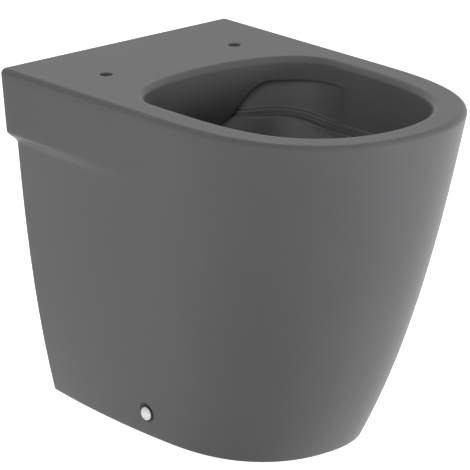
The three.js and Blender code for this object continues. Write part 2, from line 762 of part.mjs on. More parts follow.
function pan() {
  const body = skirtBody();
  const hollow = body.subtract(skirtCavity());
  const path = trapPath();
  const inner = [bowlOutside(), trapTube(TRAP_RADIUS + TRAP_WALL, path, TRAP_STEPS), outletSpigot(),
    inletHorn(), ductShell(), ...SIDES.map(({ side }) => fixingPad(side))];
  let whole = inner.reduce((sum, piece) => sum.add(piece.intersect(body)), hollow);
  const wet = bowlInside().add(trapTube(TRAP_RADIUS, path, TRAP_STEPS)).add(chamberTop())
    .add(inletBore());
  const reach = 6; // to each side of the outlet's end
  const mouth = alongWall(revolve([[0, -reach], [TRAP_RADIUS, -reach], [TRAP_RADIUS, reach],
    [0, reach]]), OUTLET_END, OUTLET_HEIGHT);
  whole = whole.subtract(wet.add(mouth)).add(deflector());
  for (const { side } of SIDES) {
    whole = whole.subtract(fixingHole(side)).subtract(seatHole(side));
  }
  return geometryOf(whole);
}

// ------------------------------------------------------------------ fixing kit

function bushGeometry(side) {
  const bore = SCREW_DIAMETER / 2 + CLEARANCE;
  const sleeve = FIXING_HOLE / 2 - CLEARANCE;
  const flange = BUSH_FLANGE / 2;
  const taper = 0.8; // lead-in at the sleeve's end
  const bevel = 0.6;
  return alongSide(revolveRing([
    [bore, -BUSH_LENGTH],
    [sleeve - taper, -BUSH_LENGTH],
    [sleeve, 2 * taper - BUSH_LENGTH],
    [sleeve, 0],
    [flange, 0],
    [flange, BUSH_FLANGE_THICKNESS - bevel],
    [flange - bevel, BUSH_FLANGE_THICKNESS],
    [bore, BUSH_FLANGE_THICKNESS],
  ], 20), side, FIXING.flangeSeat);
}

function sideScrewGeometry(side) {
  const seat = FIXING.flangeFace + CLEARANCE;
  const tail = seat - (FIXING.bracketFace - BRACKET_THICKNESS - SCREW_TAIL);
  const r = SCREW_DIAMETER / 2;
  const tip = r / 2; // radius of the blunt tip, and half the length it tapers over
  return alongSide(revolve([
    [0, -tail],
    [tip, -tail],
    [r, 2 * tip - tail],
    [r, 0],
    [SCREW_HEAD / 2, 0],
    [SCREW_HEAD / 2, SCREW_HEAD_HEIGHT * 0.4],
    [SCREW_HEAD * 0.4, SCREW_HEAD_HEIGHT * 0.8],
    [SCREW_HEAD * 0.2, SCREW_HEAD_HEIGHT],
    [0, SCREW_HEAD_HEIGHT],
  ], 20), side, seat);
}

/** Domed cover that pushes over the bush's flange and hides the screw's head. */
function capGeometry(side) {
  const inner = BUSH_FLANGE / 2 + CLEARANCE;
  const outer = inner + CAP_WALL;
  const skirt = BUSH_FLANGE_THICKNESS + CLEARANCE + SCREW_HEAD_HEIGHT * 0.4;
  const dome = (radius, base, rise, steps) => Array.from({ length: steps + 1 }, (_, i) => {
    const a = (i / steps) * (Math.PI / 2);
    return [radius * Math.cos(a), base + rise * Math.sin(a)];
  });
  return alongSide(revolve([
    ...dome(inner, skirt, CAP_DOME, 4).reverse(),
    [inner, 0],
    [outer, 0],
    ...dome(outer, skirt, CAP_DOME + CAP_WALL, 6),
  ], 20), side, FIXING.flangeSeat);
}

/** Where the floor screw stands: from the bracket's bearing face, and from the middle. */
const ANCHOR_INSET = (BRACKET_FOOT + BRACKET_THICKNESS) / 2 + BRACKET_SLOT_OFFSET;
const ANCHOR_X = FIXING.bracketFace - ANCHOR_INSET;

/** Moulded angle on the floor inside the skirt: slotted foot, drilled upright, two end ribs. */
function bracketGeometry(side) {
  const face = FIXING.bracketFace;
  const t = BRACKET_THICKNESS;
  const angle = new THREE.Shape();
  angle.moveTo(0, 0);
  angle.lineTo(0, BRACKET_UPRIGHT);
  angle.lineTo(-t, BRACKET_UPRIGHT);
  angle.lineTo(-t, t + BRACKET_FILLET);
  angle.absarc(-t - BRACKET_FILLET, t + BRACKET_FILLET, BRACKET_FILLET, 0, -Math.PI / 2, true);
  angle.lineTo(-BRACKET_FOOT, t);
  angle.lineTo(-BRACKET_FOOT, 0);
  angle.closePath();
  const ribTop = BRACKET_UPRIGHT - 4;
  const ribToe = 3 - BRACKET_FOOT;
  const rib = new THREE.Shape();
  rib.moveTo(-t / 2, t / 2);
  rib.lineTo(-t / 2, ribTop);
  rib.lineTo(-t, ribTop);
  rib.lineTo(ribToe, t);
  rib.lineTo(ribToe, t / 2);
  rib.closePath();
  const standUp = (shape, width, y) => solid(place(new THREE.ExtrudeGeometry(shape, {
    depth: width, bevelEnabled: false, curveSegments: 5,
  }).rotateX(Math.PI / 2), 0, y, 0));
  const half = BRACKET_WIDTH / 2;
  let bracket = standUp(angle, BRACKET_WIDTH, half)
    .add(standUp(rib, BRACKET_RIB, half))
    .add(standUp(rib, BRACKET_RIB, -half + BRACKET_RIB));
  const hole = SCREW_DIAMETER / 2 + CLEARANCE;
  const drill = new THREE.CylinderGeometry(hole, hole, 3 * t, 24).rotateZ(Math.PI / 2);
  bracket = bracket.subtract(solid(place(drill, 0, 0, FIXING_HEIGHT)));
  const r = ANCHOR_DIAMETER / 2 + CLEARANCE;
  const slot = new THREE.Shape();
  slot.absarc(BRACKET_SLOT / 2, 0, r, -Math.PI / 2, Math.PI / 2, false);
  slot.absarc(-BRACKET_SLOT / 2, 0, r, Math.PI / 2, (3 * Math.PI) / 2, false);
  slot.closePath();
  const cut = new THREE.ExtrudeGeometry(slot, { depth: 3 * t, bevelEnabled: false, curveSegments: 8 });
  bracket = bracket.subtract(solid(place(cut, -ANCHOR_INSET, 0, -t)));
  const geometry = geometryOf(bracket);
  if (side < 0) geometry.rotateZ(Math.PI);
  return place(geometry, side * face, FIXING_Y, 0);
}

function washerGeometry(side) {
  const bore = ANCHOR_DIAMETER / 2 + CLEARANCE;
  const ring = revolveRing([
    [bore, 0],
    [WASHER_DIAMETER / 2, 0],
    [WASHER_DIAMETER / 2, WASHER_THICKNESS],
    [bore, WASHER_THICKNESS],
  ], 24);
  return place(ring, side * ANCHOR_X, FIXING_Y, BRACKET_THICKNESS + CLEARANCE);
}

/** Hexagon-headed floor screw, shown down to the floor line. */
function anchorGeometry(side) {
  const seat = BRACKET_THICKNESS + WASHER_THICKNESS + 2 * CLEARANCE;
  const overlap = 1; // shank inside head
  const length = seat + overlap;
  const shank = new THREE.CylinderGeometry(ANCHOR_DIAMETER / 2, ANCHOR_DIAMETER / 2, length, 24);
  shank.rotateX(Math.PI / 2);
  const corner = ANCHOR_HEAD / Math.sqrt(3);
  const head = new THREE.CylinderGeometry(corner, corner, ANCHOR_HEAD_HEIGHT, 6);
  head.rotateX(Math.PI / 2);
  const wide = corner + overlap;
  const crown = solid(revolve([
    [0, -overlap],
    [wide, -overlap],
    [wide, ANCHOR_HEAD_HEIGHT - ANCHOR_CROWN],
    [ANCHOR_HEAD / 2, ANCHOR_HEAD_HEIGHT],
    [0, ANCHOR_HEAD_HEIGHT],
  ]));
  const hex = solid(place(head, 0, 0, ANCHOR_HEAD_HEIGHT / 2)).intersect(crown);
  const whole = hex.add(solid(place(shank, 0, 0, overlap - length / 2)));
  return place(geometryOf(whole), side * ANCHOR_X, FIXING_Y, seat);
}

// ------------------------------------------------------------------ rubber seals

/** Saw-tooth fins along a sleeve: [radius, height] pairs between two heights. */
function fins(radius, height, from, to) {
  const pitch = (to - from) / SEAL_FINS;
  const tooth = [[0, 0], [height, 0.25], [height, 0.4], [0, 0.75]];
  return Array.from({ length: SEAL_FINS }, (_, i) => (
    tooth.map(([out, share]) => [radius + out, from + (i + share) * pitch]))).flat();
}

/** Finned collar over the outlet spigot, with a lip that turns over its end. */
function outletSealGeometry() {
  const bore = OUTLET_DIAMETER / 2 + CLEARANCE;
  const length = OUTLET_SEAL_LENGTH;
  const lip = length + SEAL_WALL;
  const collar = revolveRing([
    [bore, 0],
    ...fins(bore + SEAL_WALL, SEAL_FIN, SEAL_MARGIN, length - SEAL_MARGIN),
    [bore + SEAL_WALL, lip],
    [bore - SEAL_LIP, lip],
    [bore - SEAL_LIP, length + CLEARANCE],
    [bore, length + CLEARANCE],
  ], PIPE_STEPS).rotateX(-Math.PI / 2);
  return place(collar, 0, OUTLET_END - length, OUTLET_HEIGHT);
}

/** Cone seal in the inlet socket: a flange outside, fins inside that grip the flush pipe. */
function inletSealGeometry() {
  const outer = INLET_SOCKET / 2 - CLEARANCE;
  const length = INLET_SOCKET_DEPTH - SEAL_END_GAP;
  const inside = fins(outer - SEAL_WALL, -SEAL_FIN, SEAL_MARGIN, length);
  const sleeve = revolveRing([
    [outer - SEAL_WALL, 0],
    [outer, 0],
    [outer, length + CLEARANCE],
    [outer + SEAL_LIP, length + CLEARANCE],
    [outer + SEAL_LIP, length + INLET_SEAL_FLANGE],
    [outer - SEAL_WALL, length + INLET_SEAL_FLANGE],
    ...inside.reverse(),
  ], 24).rotateX(-Math.PI / 2);
  return place(sleeve, 0, INLET_END - length, INLET_HEIGHT);
}

// ------------------------------------------------------------------ assembly

const finish = (color, roughness, metalness) => new THREE.MeshStandardMaterial({
  color, roughness, metalness,
});
const GLAZE = finish(0x4b4b4e, 0.42, 0);
const NYLON = finish(0xe6e4dc, 0.55, 0);
const STEEL = finish(0xb4b6b8, 0.35, 1);
const CHROME = finish(0xd8dadd, 0.12, 1);
const RUBBER = finish(0x1c1c1d, 0.8, 0);

const model = new THREE.Group();

function addPiece(name, geometry, material) {
  const mesh = new THREE.Mesh(geometry, material);
  mesh.name = name;
  model.add(mesh);
}

addPiece('pan', pan(), GLAZE);
addPiece('flush_inlet_seal', inletSealGeometry(), RUBBER);
addPiece('outlet_seal', outletSealGeometry(), RUBBER);
for (const { side, word } of SIDES) {
  addPiece(`floor_bracket_${word}`, bracketGeometry(side), NYLON);
  addPiece(`floor_washer_${word}`, washerGeometry(side), STEEL);
  addPiece(`floor_screw_${word}`, anchorGeometry(side), STEEL);
  addPiece(`side_bush_${word}`, bushGeometry(side), NYLON);
  addPiece(`side_screw_${word}`, sideScrewGeometry(side), STEEL);
  addPiece(`screw_cap_${word}`, capGeometry(side), CHROME);
}

export default model;
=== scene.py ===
# %% [markdown]
# # A toilet pan that stands against the wall
#
# This lesson builds one floor-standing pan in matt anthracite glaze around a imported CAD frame.
# The frame holds every piece at its true size. Blender adds the smooth surfaces, the small
# fixings and the finishes. Lengths below are in millimetres until a piece is finished, because
# that is how a pottery's drawing is dimensioned.

# %% Load the frame
import math

import bmesh
import bpy
from mathutils import Matrix, Vector


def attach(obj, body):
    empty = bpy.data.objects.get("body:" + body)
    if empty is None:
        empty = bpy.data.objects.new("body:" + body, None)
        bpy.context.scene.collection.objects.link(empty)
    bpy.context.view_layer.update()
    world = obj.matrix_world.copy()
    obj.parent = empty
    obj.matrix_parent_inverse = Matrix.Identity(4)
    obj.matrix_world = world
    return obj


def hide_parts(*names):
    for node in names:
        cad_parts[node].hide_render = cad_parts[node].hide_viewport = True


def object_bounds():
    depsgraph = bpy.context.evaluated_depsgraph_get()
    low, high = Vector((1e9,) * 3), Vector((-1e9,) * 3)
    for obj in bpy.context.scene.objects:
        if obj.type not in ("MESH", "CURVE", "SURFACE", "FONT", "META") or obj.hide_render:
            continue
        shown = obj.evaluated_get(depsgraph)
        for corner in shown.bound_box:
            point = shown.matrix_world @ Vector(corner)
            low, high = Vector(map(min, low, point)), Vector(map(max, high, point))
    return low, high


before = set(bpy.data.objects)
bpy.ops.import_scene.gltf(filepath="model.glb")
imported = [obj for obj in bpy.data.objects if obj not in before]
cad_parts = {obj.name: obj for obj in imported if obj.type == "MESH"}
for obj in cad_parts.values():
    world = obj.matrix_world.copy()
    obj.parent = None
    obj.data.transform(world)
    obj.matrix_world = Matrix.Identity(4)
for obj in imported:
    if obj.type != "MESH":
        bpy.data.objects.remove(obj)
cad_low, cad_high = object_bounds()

MM = 0.001
SCENE = bpy.context.scene
SCENE.view_settings.view_transform = "Standard"
print("CAD box", [round(v, 4) for v in (*cad_low, *cad_high)])

# %% [markdown]
# ## The driving sizes
#
# A pan is drawn as a seat face, an outline and how far each face leans in towards the floor.
# The same few sizes shaped the CAD frame. The overall three come from the frame's own box, so
# the two models can't drift apart.

# %% Sizes of the casting
HEIGHT = cad_high.z / MM
WALL_Y = cad_high.y / MM
FRONT_Y = cad_low.y / MM
HALF_WIDTH = cad_high.x / MM

RIM_ROUND, REAR_ROUND, MOUTH_ROUND = 6.4, 2.4, 7.8
WIDEST_Y, WIDEST_Y_FLOOR = WALL_Y - 285.0, WALL_Y - 218.5
FRONT_POWER, SIDE_POWER = 2.73, 2.24
REAR_CORNER = 2.6
SIDE_RAKE, SIDE_CURL = 57.2, 15.8
REAR_INSET, REAR_RAKE, REAR_CURL = 15.4, 59.8, 25.2
FRONT_RAKE, FRONT_BEND, FRONT_CURL = 145.2, 36.9, 21.1
BOX_HEIGHT, BOX_DRAFT, STEP_HEIGHT = 77.5, 0.096, 18.0
STEP_FOOT = HEIGHT - BOX_HEIGHT - STEP_HEIGHT

SKIRT_WALL, DECK_THICKNESS, COVING, FRONT_BLOCK = 11.0, 16.0, 23.0, 14.0
FOOT_WIDTH, FOOT_HEIGHT, FOOT_RADIUS = 18.0, 12.0, 2.0
BOWL_WALL = 10.0

# %% Sizes of the bowl and the water's way
OPENING = {"side": HALF_WIDTH - 31.5, "front": FRONT_Y + 29.3, "rear": WALL_Y - 152.0,
           "middle": WALL_Y - 241.4}
OVAL_FRONT_POWER, OVAL_REAR_POWER, OVAL_SIDE_POWER = 3.82, 2.38, 2.03
LIP_DEPTH, LIP_ROUND = 29.0, 2.5
RECESS, RECESS_STARTS, RECESS_FULL, RECESS_FALL = 12.0, 272.0, 180.0, 1.5
CHAMBER, CHAMBER_ROOF, CHAMBER_REACH, CHAMBER_FLAT = 22.0, 20.0, 94.0, 20.0
SHELF_REAR, SHELF_FRONT, SHELF_PITCH = 61.0, 74.0, 7.0
SHELF_FALL_STARTS, SHELF_FALL_ENDS, CHAMBER_SHELF = 166.0, 236.0, 6.0
UPPER_SHELF, SHELF_WIDTH, LOWER_SHELF, SHELF_ROUND = 2.2, 5.0, 10.0, 2.4
HOLLOW, SLOT = 2.2, 8.0
APRON_THICKNESS, APRON_DEPTH, APRON_FLAT, APRON_REACH = 9.0, 76.5, 24.0, 96.0
APRON_PAST, ROOF_SHORT, BLEND_SPAN, TOE_ROUND = 6.0, 20.0, 30.0, 0.5

TRAP_RADIUS, TRAP_WALL, OUTLET_HEIGHT = 40.0, 9.0, 190.0
OUTLET_END, OUTLET_RADIUS, OUTLET_LENGTH = WALL_Y - 60.0, 51.0, 44.0
DIP = OUTLET_HEIGHT - 2 * TRAP_RADIUS - 50.0
INLET_END, INLET_HEIGHT = WALL_Y - 56.0, 362.0
SOCKET_RADIUS, SOCKET_DEPTH, INLET_BORE, INLET_WALL = 27.5, 27.0, 22.0, 9.0
DUCT_HALF_WIDTH, DUCT_HALF_HEIGHT, DUCT_BELOW_ROOF = 48.0, 13.0, 2.0

SEAT_HOLES = [(side * 99.7, WALL_Y - 103.0) for side in (-1, 1)]
SEAT_HOLE_RADIUS, SEAT_HOLE_MARGIN, SEAT_HOLE_ROUND = 7.5, 2.2, 1.2
FIXING_Y, FIXING_Z = WALL_Y - 204.0, 31.0
POCKET_DEPTH, DISH_FLOOR, DISH_RIM, FIXING_HOLE = 4.0, 8.8, 13.0, 5.8


# %% [markdown]
# ## How a skin is grown from rings
#
# The casting is a stack of closed rings that change shape as they rise. In Blender a ring is a
# circle whose vertices are moved on to an outline, and the wall is that ring extruded again and
# again, as a potter pulls up a wall. Every ring keeps the same number of vertices, so the faces
# stay in clean rows and columns and shade smoothly.

# %% Rings, skins and solids
def ring_start(bm, places):
    """A loose ring whose vertices lie at places."""
    verts = bmesh.ops.create_circle(bm, segments=len(places), radius=1.0)["verts"]
    for vert, place in zip(verts, places):
        vert.co = place
    return verts


def ring_edges(bm, verts):
    """The edges that join a ring's neighbouring vertices."""
    return [bm.edges.get(pair) for pair in zip(verts, verts[1:] + verts[:1])]


def ring_next(bm, verts, places):
    """Extrudes a ring, moves the new one to places, and returns it in the same order."""
    grown = bmesh.ops.extrude_edge_only(bm, edges=ring_edges(bm, verts))["geom"]
    fresh = {v for v in grown if isinstance(v, bmesh.types.BMVert)}
    following = [next(e.other_vert(v) for e in v.link_edges if e.other_vert(v) in fresh)
                 for v in verts]
    for vert, place in zip(following, places):
        vert.co = place
    return following


def skin(bm, rings, cap_first=True, cap_last=True):
    """Grows a wall through the rings. Returns its first and last ring."""
    first = verts = ring_start(bm, rings[0])
    for places in rings[1:]:
        verts = ring_next(bm, verts, places)
    if cap_first:
        bmesh.ops.contextual_create(bm, geom=ring_edges(bm, first))
    if cap_last:
        bmesh.ops.contextual_create(bm, geom=ring_edges(bm, verts))
    return first, verts


def as_object(bm, name, bare=0.0):
    """Turns a bmesh in millimetres into an object in metres, with its faces outward.
    Every face carries a mark, bare: 1 where the china is left without glaze."""
    mark = bm.faces.layers.float.new("bare")
    for face in bm.faces:
        face[mark] = bare
    bmesh.ops.remove_doubles(bm, verts=bm.verts, dist=1e-4)
    bmesh.ops.recalc_face_normals(bm, faces=bm.faces)
    bmesh.ops.scale(bm, vec=(MM, MM, MM), verts=bm.verts)
    mesh = bpy.data.meshes.new(name)
    bm.to_mesh(mesh)
    bm.free()
    piece = bpy.data.objects.new(name, mesh)
    SCENE.collection.objects.link(piece)
    return piece


def move(bm, x, y, z):
    bmesh.ops.translate(bm, vec=(x, y, z), verts=bm.verts)


def swing(bm, angle, axis):
    """Turns everything about an axis through the origin."""
    bmesh.ops.rotate(bm, cent=(0, 0, 0), verts=bm.verts, matrix=Matrix.Rotation(angle, 3, axis))


def solid_of(name, *stacks, bare=0.0):
    """One closed object from one or more stacks of rings."""
    bm = bmesh.new()
    for rings in stacks:
        skin(bm, rings)
    return as_object(bm, name, bare)


def smooth_step(t):
    t = min(1.0, max(0.0, t))
    return t * t * (3 - 2 * t)


def mix(a, b, t):
    return a + (b - a) * t


def arc(steps, sweep=math.pi / 2):
    """Angles of an arc's points, both ends included."""
    return [i / steps * sweep for i in range(steps + 1)]


def once_round(count):
    """Angles of a full circle's points."""
    return arc(count, 2 * math.pi)[:-1]


# %% [markdown]
# ## Joining and cutting
#
# The hidden side of a real casting is a shell with the trap inside it. It is quickest to make
# that as solids and let Boolean modifiers join and cut them. The visible side never goes
# through a cut except where the real one is drilled.

# %% Boolean helper
def carve(target, operation, *tools):
    """Applies tools to target one after another, and removes them."""
    for tool in tools:
        cut = target.modifiers.new("carve", "BOOLEAN")
        cut.operation = operation
        cut.solver = "MANIFOLD"
        cut.object = tool
        depsgraph = bpy.context.evaluated_depsgraph_get()
        made = bpy.data.meshes.new_from_object(target.evaluated_get(depsgraph))
        target.modifiers.clear()
        old, target.data = target.data, made
        bpy.data.meshes.remove(old)
        bpy.data.meshes.remove(tool.data)
    return target


def reopen(piece):
    """Takes a piece's mesh back into a bmesh in millimetres."""
    bm = bmesh.new()
    bm.from_mesh(piece.data)
    bpy.data.meshes.remove(piece.data)
    bmesh.ops.scale(bm, vec=(1 / MM,) * 3, verts=bm.verts)
    return bm


# %% [markdown]
# ## The skirt's outline
#
# From above, the front is a squarish half oval and the sides run back in a shallow curve to
# the wall. Going down, the front leans in most. Near the top of the rear the full width is
# carried down to a soft step, below which the sides are drawn in.

# %% Skirt outline
def skirt_plan(z, step_z=None):
    """Plan sizes of the skirt's outside at height z."""
    s = max(0.0, 1 - z / (HEIGHT - RIM_ROUND))
    side = HALF_WIDTH - (SIDE_RAKE - SIDE_CURL) * s - SIDE_CURL * s ** 3
    lower = HALF_WIDTH - REAR_INSET - (REAR_RAKE - REAR_CURL) * s - REAR_CURL * s ** 3
    upper = HALF_WIDTH - BOX_DRAFT * max(0.0, HEIGHT - RIM_ROUND - z)
    box = smooth_step(((z if step_z is None else step_z) - STEP_FOOT) / STEP_HEIGHT)
    bend = (FRONT_RAKE - FRONT_BEND - FRONT_CURL) * s + FRONT_BEND * s ** 2 + FRONT_CURL * s ** 4
    return {"side": side, "rear": mix(lower, upper, box), "wall": WALL_Y,
            "front": FRONT_Y + bend, "widest": mix(WIDEST_Y, WIDEST_Y_FLOOR, s)}


def drawn_in(plan, amount, wall):
    return {**plan, "side": plan["side"] - amount, "rear": plan["rear"] - amount,
            "front": plan["front"] + amount, "wall": wall}


def skirt_ring(plan, z, front_steps, side_steps, corner_steps, corner=REAR_CORNER):
    """The outline of one plan, from the front round one side, the back and the other side."""
    widest, rear, side = plan["widest"], plan["rear"], plan["side"]
    half = []
    for a in arc(front_steps):
        ahead = max(0.0, math.cos(a)) ** (2 / FRONT_POWER)
        half.append((side * math.sin(a) ** (2 / SIDE_POWER),
                     widest - (widest - plan["front"]) * ahead))
    for i in range(1, side_steps + 1):
        u = i / side_steps
        half.append((side - (side - rear) * u ** 2, mix(widest, plan["wall"] - corner, u)))
    for a in arc(corner_steps)[1:]:
        half.append((rear - corner * (1 - math.cos(a)), plan["wall"] - corner * (1 - math.sin(a))))
    half += [(rear * f, plan["wall"]) for f in (0.8, 0.55, 0.3)]
    whole = half + [(0.0, plan["wall"])] + [(-x, y) for x, y in reversed(half[1:])]
    return [Vector((x, y, z)) for x, y in whole]


def half_width_at(y, z):
    """Half the skirt's width at one place behind the widest line."""
    plan = skirt_plan(z)
    u = max(0.0, (y - plan["widest"]) / (plan["wall"] - plan["widest"]))
    return plan["side"] - (plan["side"] - plan["rear"]) * u ** 2


FINE = (44, 26, 6)


def skirt_rings():
    def ring(z, amount=0.0, wall=WALL_Y):
        return skirt_ring(drawn_in(skirt_plan(z), amount, wall), z, *FINE)

    rings = [ring(FOOT_RADIUS * (1 - math.cos(a)), FOOT_RADIUS * (1 - math.sin(a)))
             for a in arc(4)[:-1]]
    box_foot = STEP_FOOT + STEP_HEIGHT
    heights = [mix(FOOT_RADIUS, STEP_FOOT, i / 40) for i in range(41)]
    heights += [STEP_FOOT + STEP_HEIGHT * i / 14 for i in range(1, 15)]
    heights += [mix(box_foot, HEIGHT - RIM_ROUND, i / 6) for i in range(1, 7)]
    rings += [ring(z) for z in heights]
    for a in arc(8)[1:]:
        amount = RIM_ROUND * (1 - math.cos(a))
        rings.append(ring(HEIGHT - RIM_ROUND * (1 - math.sin(a)), amount,
                          WALL_Y - amount * REAR_ROUND / RIM_ROUND))
    rings.append(ring(HEIGHT, RIM_ROUND + 1.0, WALL_Y - REAR_ROUND - 1.0))
    return rings


# %% [markdown]
# ## The opening and the flush gallery
#
# A rimless pan has no hollow rim. Below the opening the wall steps back under a lip, and two
# narrow shelves lead the water round the bowl. At the back an apron hangs down in front of the
# chamber that the flush pipe fills. One section that changes with the angle describes all of
# it, so the whole bowl is one skin with no seams.

# %% Bowl outline
def oval(angle, size):
    """A point of the bowl's outline, at an angle from +X."""
    c, s = math.cos(angle), math.sin(angle)
    power = OVAL_REAR_POWER if s > 0 else OVAL_FRONT_POWER
    reach = size["rear"] - size["middle"] if s > 0 else size["middle"] - size["front"]
    x = math.copysign(size["side"] * abs(c) ** (2 / OVAL_SIDE_POWER), c)
    return x, size["middle"] + math.copysign(reach * abs(s) ** (2 / power), s)


def grown(size, by):
    return {**size, "side": size["side"] + by, "front": size["front"] - by,
            "rear": size["rear"] + by}


def bowl_angles(front_steps, rear_steps):
    """Angles once round that give even steps along the outline."""
    rear = [i / rear_steps * math.pi / 2 for i in range(rear_steps)]
    front = [-math.pi / 2 * (1 - math.cos(i / front_steps * math.pi / 2))
             for i in range(front_steps, 0, -1)]
    half = front + rear
    return half + [math.pi / 2] + [math.pi - a for a in reversed(half[1:])]


# %% Section of the gallery
def apron_depth(x):
    rise = smooth_step((x - APRON_FLAT) / (APRON_REACH - APRON_FLAT))
    return mix(APRON_DEPTH, LIP_DEPTH, rise)


def blend_points(a, b, t):
    return [(mix(p[0], q[0], t), mix(p[1], q[1], t)) for p, q in zip(a, b)]


def inner_corner(out, depth, radius, steps):
    return [(out - radius * (1 - math.cos(a)), depth - radius * (1 - math.sin(a)))
            for a in arc(steps)]


def outer_corner(out, depth, radius, steps):
    return [(out + radius * (1 - math.sin(a)), depth + radius * (1 - math.cos(a)))
            for a in arc(steps)]


def chamber_share(x, y):
    """1 where the section is the chamber's, 0 where it is the plain recess."""
    share = smooth_step((CHAMBER_REACH - x) / (CHAMBER_REACH - CHAMBER_FLAT))
    return share if y > OPENING["middle"] else 0.0


def gallery_depth(x, y):
    """How far the gallery is cut back behind the bowl's wall."""
    opens = smooth_step((RECESS_STARTS - WALL_Y + y) / (RECESS_STARTS - RECESS_FULL))
    return RECESS * opens + CHAMBER * chamber_share(x, y)


def gallery(angle):
    """Distance out from the opening and depth below the seat face, down the bowl's wall."""
    x, y = oval(angle, OPENING)
    x = abs(x)
    from_wall = WALL_Y - y
    at_back = y > OPENING["middle"]
    behind, recess = chamber_share(x, y), gallery_depth(x, y)
    fall = smooth_step((from_wall - SHELF_FALL_STARTS) / (SHELF_FALL_ENDS - SHELF_FALL_STARTS))
    shelf = mix(SHELF_REAR, SHELF_FRONT, fall)
    hangs = smooth_step((APRON_REACH + APRON_PAST - x) / BLEND_SPAN) * at_back
    bottom = apron_depth(x) if at_back else LIP_DEPTH

    wall = -MOUTH_ROUND
    back = wall + recess
    line = [(1.0, 0.0)]
    line += [(-MOUTH_ROUND * math.sin(a), MOUTH_ROUND * (1 - math.cos(a))) for a in arc(8)]

    # The lip's lower edge is a small quarter round, the apron's is a full half round.
    flat = min(LIP_ROUND, 0.4 * recess + 0.01)
    lip = [(wall + flat * (1 - math.cos(a)), bottom - LIP_ROUND * (1 - math.sin(a)))
           for a in arc(8)]
    r = APRON_THICKNESS / 2
    apron = [(wall + r * (1 - math.cos(a)), bottom - r + r * math.sin(a))
             for a in arc(8, math.pi)]
    line += blend_points(lip, apron, hangs)

    # Above the lip's edge the recess has a roof, and behind the apron the chamber rises.
    rise = smooth_step((CHAMBER_REACH - ROOF_SHORT - x) / BLEND_SPAN)
    roof = mix(LIP_DEPTH + 1.0, CHAMBER_ROOF, rise)
    inner = wall + APRON_THICKNESS
    low_roof = [(mix(wall + flat, back, f), bottom + RECESS_FALL * f)
                for f in (0.08, 0.2, 0.4, 0.7, 1)]
    high_roof = [(inner, roof + 3.0), (inner + 0.9, roof + 0.9), (inner + 3.0, roof),
                 (max(inner + 3.5, back - 3.0), roof), (max(inner + 4.0, back), roof + 3.0)]
    line += blend_points(low_roof, high_roof, hangs)

    # Then down the recess's back to the upper shelf, its riser, and the lower shelf.
    lower = shelf + SHELF_PITCH
    lower_edge = mix(wall - UPPER_SHELF - LOWER_SHELF, inner + SLOT, behind)
    upper_edge = mix(wall - UPPER_SHELF, lower_edge + CHAMBER_SHELF, behind)
    shelf_back = min(back, upper_edge + SHELF_WIDTH)
    width = shelf_back - upper_edge
    hollow, bead = min(HOLLOW, 0.5 * width), min(SHELF_ROUND, 0.5 * width)
    line += inner_corner(shelf_back, shelf, hollow, 4) + outer_corner(upper_edge, shelf, bead, 4)
    tread = max(upper_edge - lower_edge, 1.0)
    toe, nose = min(TOE_ROUND, 0.3 * tread), min(SHELF_ROUND, 0.4 * tread)
    line += inner_corner(upper_edge, lower, toe, 3) + outer_corner(lower_edge, lower, nose, 4)
    return line


# %% [markdown]
# Below the shelves the bowl narrows to the sump, which holds the water. Its plan is given at a
# few heights, and a curve through them gives the rings between.

# %% Bowl below the shelves
BASIN = [
    (326.0, 119.0, 474.0, 163.0), (285.0, 108.5, 452.0, 168.0), (245.0, 95.0, 424.0, 174.0),
    (205.0, 78.5, 387.0, 182.0), (172.0, 64.0, 354.0, 190.5), (145.0, 54.0, 328.0, 198.0),
    (105.0, 46.0, 306.0, 205.0), (DIP, TRAP_RADIUS + 1.0, 290.0, 214.0),
    (DIP - TRAP_RADIUS * 0.55, TRAP_RADIUS * 0.86, 281.0, 220.0),
    (DIP - TRAP_RADIUS * 0.88, TRAP_RADIUS * 0.5, 268.0, 230.0),
    (DIP - TRAP_RADIUS, TRAP_RADIUS * 0.2, 252.0, 240.0),
]


def through(rows, t):
    """A smooth curve through rows of numbers, at t from 0 to the last row."""
    i = min(int(t), len(rows) - 2)
    u = t - i
    before, after = rows[max(i - 1, 0)], rows[min(i + 2, len(rows) - 1)]
    out = []
    for p0, p1, p2, p3 in zip(before, rows[i], rows[i + 1], after):
        out.append(0.5 * (2 * p1 + (p2 - p0) * u + (2 * p0 - 5 * p1 + 4 * p2 - p3) * u ** 2
                          + (3 * p1 - p0 - 3 * p2 + p3) * u ** 3))
    return out


def basin_size(row):
    z, side, front, rear = row
    return z, {"side": side, "front": WALL_Y - front, "rear": WALL_Y - rear,
               "middle": WALL_Y - (front * 0.45 + rear * 0.55)}


def bowl_rings(angles):
    """The inside of the bowl from the opening down to the bottom of the sump."""
    sections = [gallery(angle) for angle in angles]
    rings = []
    for row in range(len(sections[0])):
        ring = []
        for angle, section in zip(angles, sections):
            out, depth = section[row]
            x, y = oval(angle, grown(OPENING, out))
            ring.append(Vector((x, y, HEIGHT - depth)))
        rings.append(ring)
    steps = 4
    for i in range((len(BASIN) - 1) * steps + 1):
        z, size = basin_size(through(BASIN, i / steps))
        rings.append([Vector((*oval(angle, size), z)) for angle in angles])
    return rings


# %% [markdown]
# ## The casting
#
# The outside and the inside are two skins. The flat seat face between them is filled in one go
# from its edges: the rim's edge, the opening and the two seat holes. A narrow flat margin
# beside every rounded edge keeps the flat face's shading flat.

# %% Outside, inside and seat face
def circle(x, y, z, radius, count=40):
    return [Vector((x + radius * math.cos(a), y + radius * math.sin(a), z))
            for a in once_round(count)]


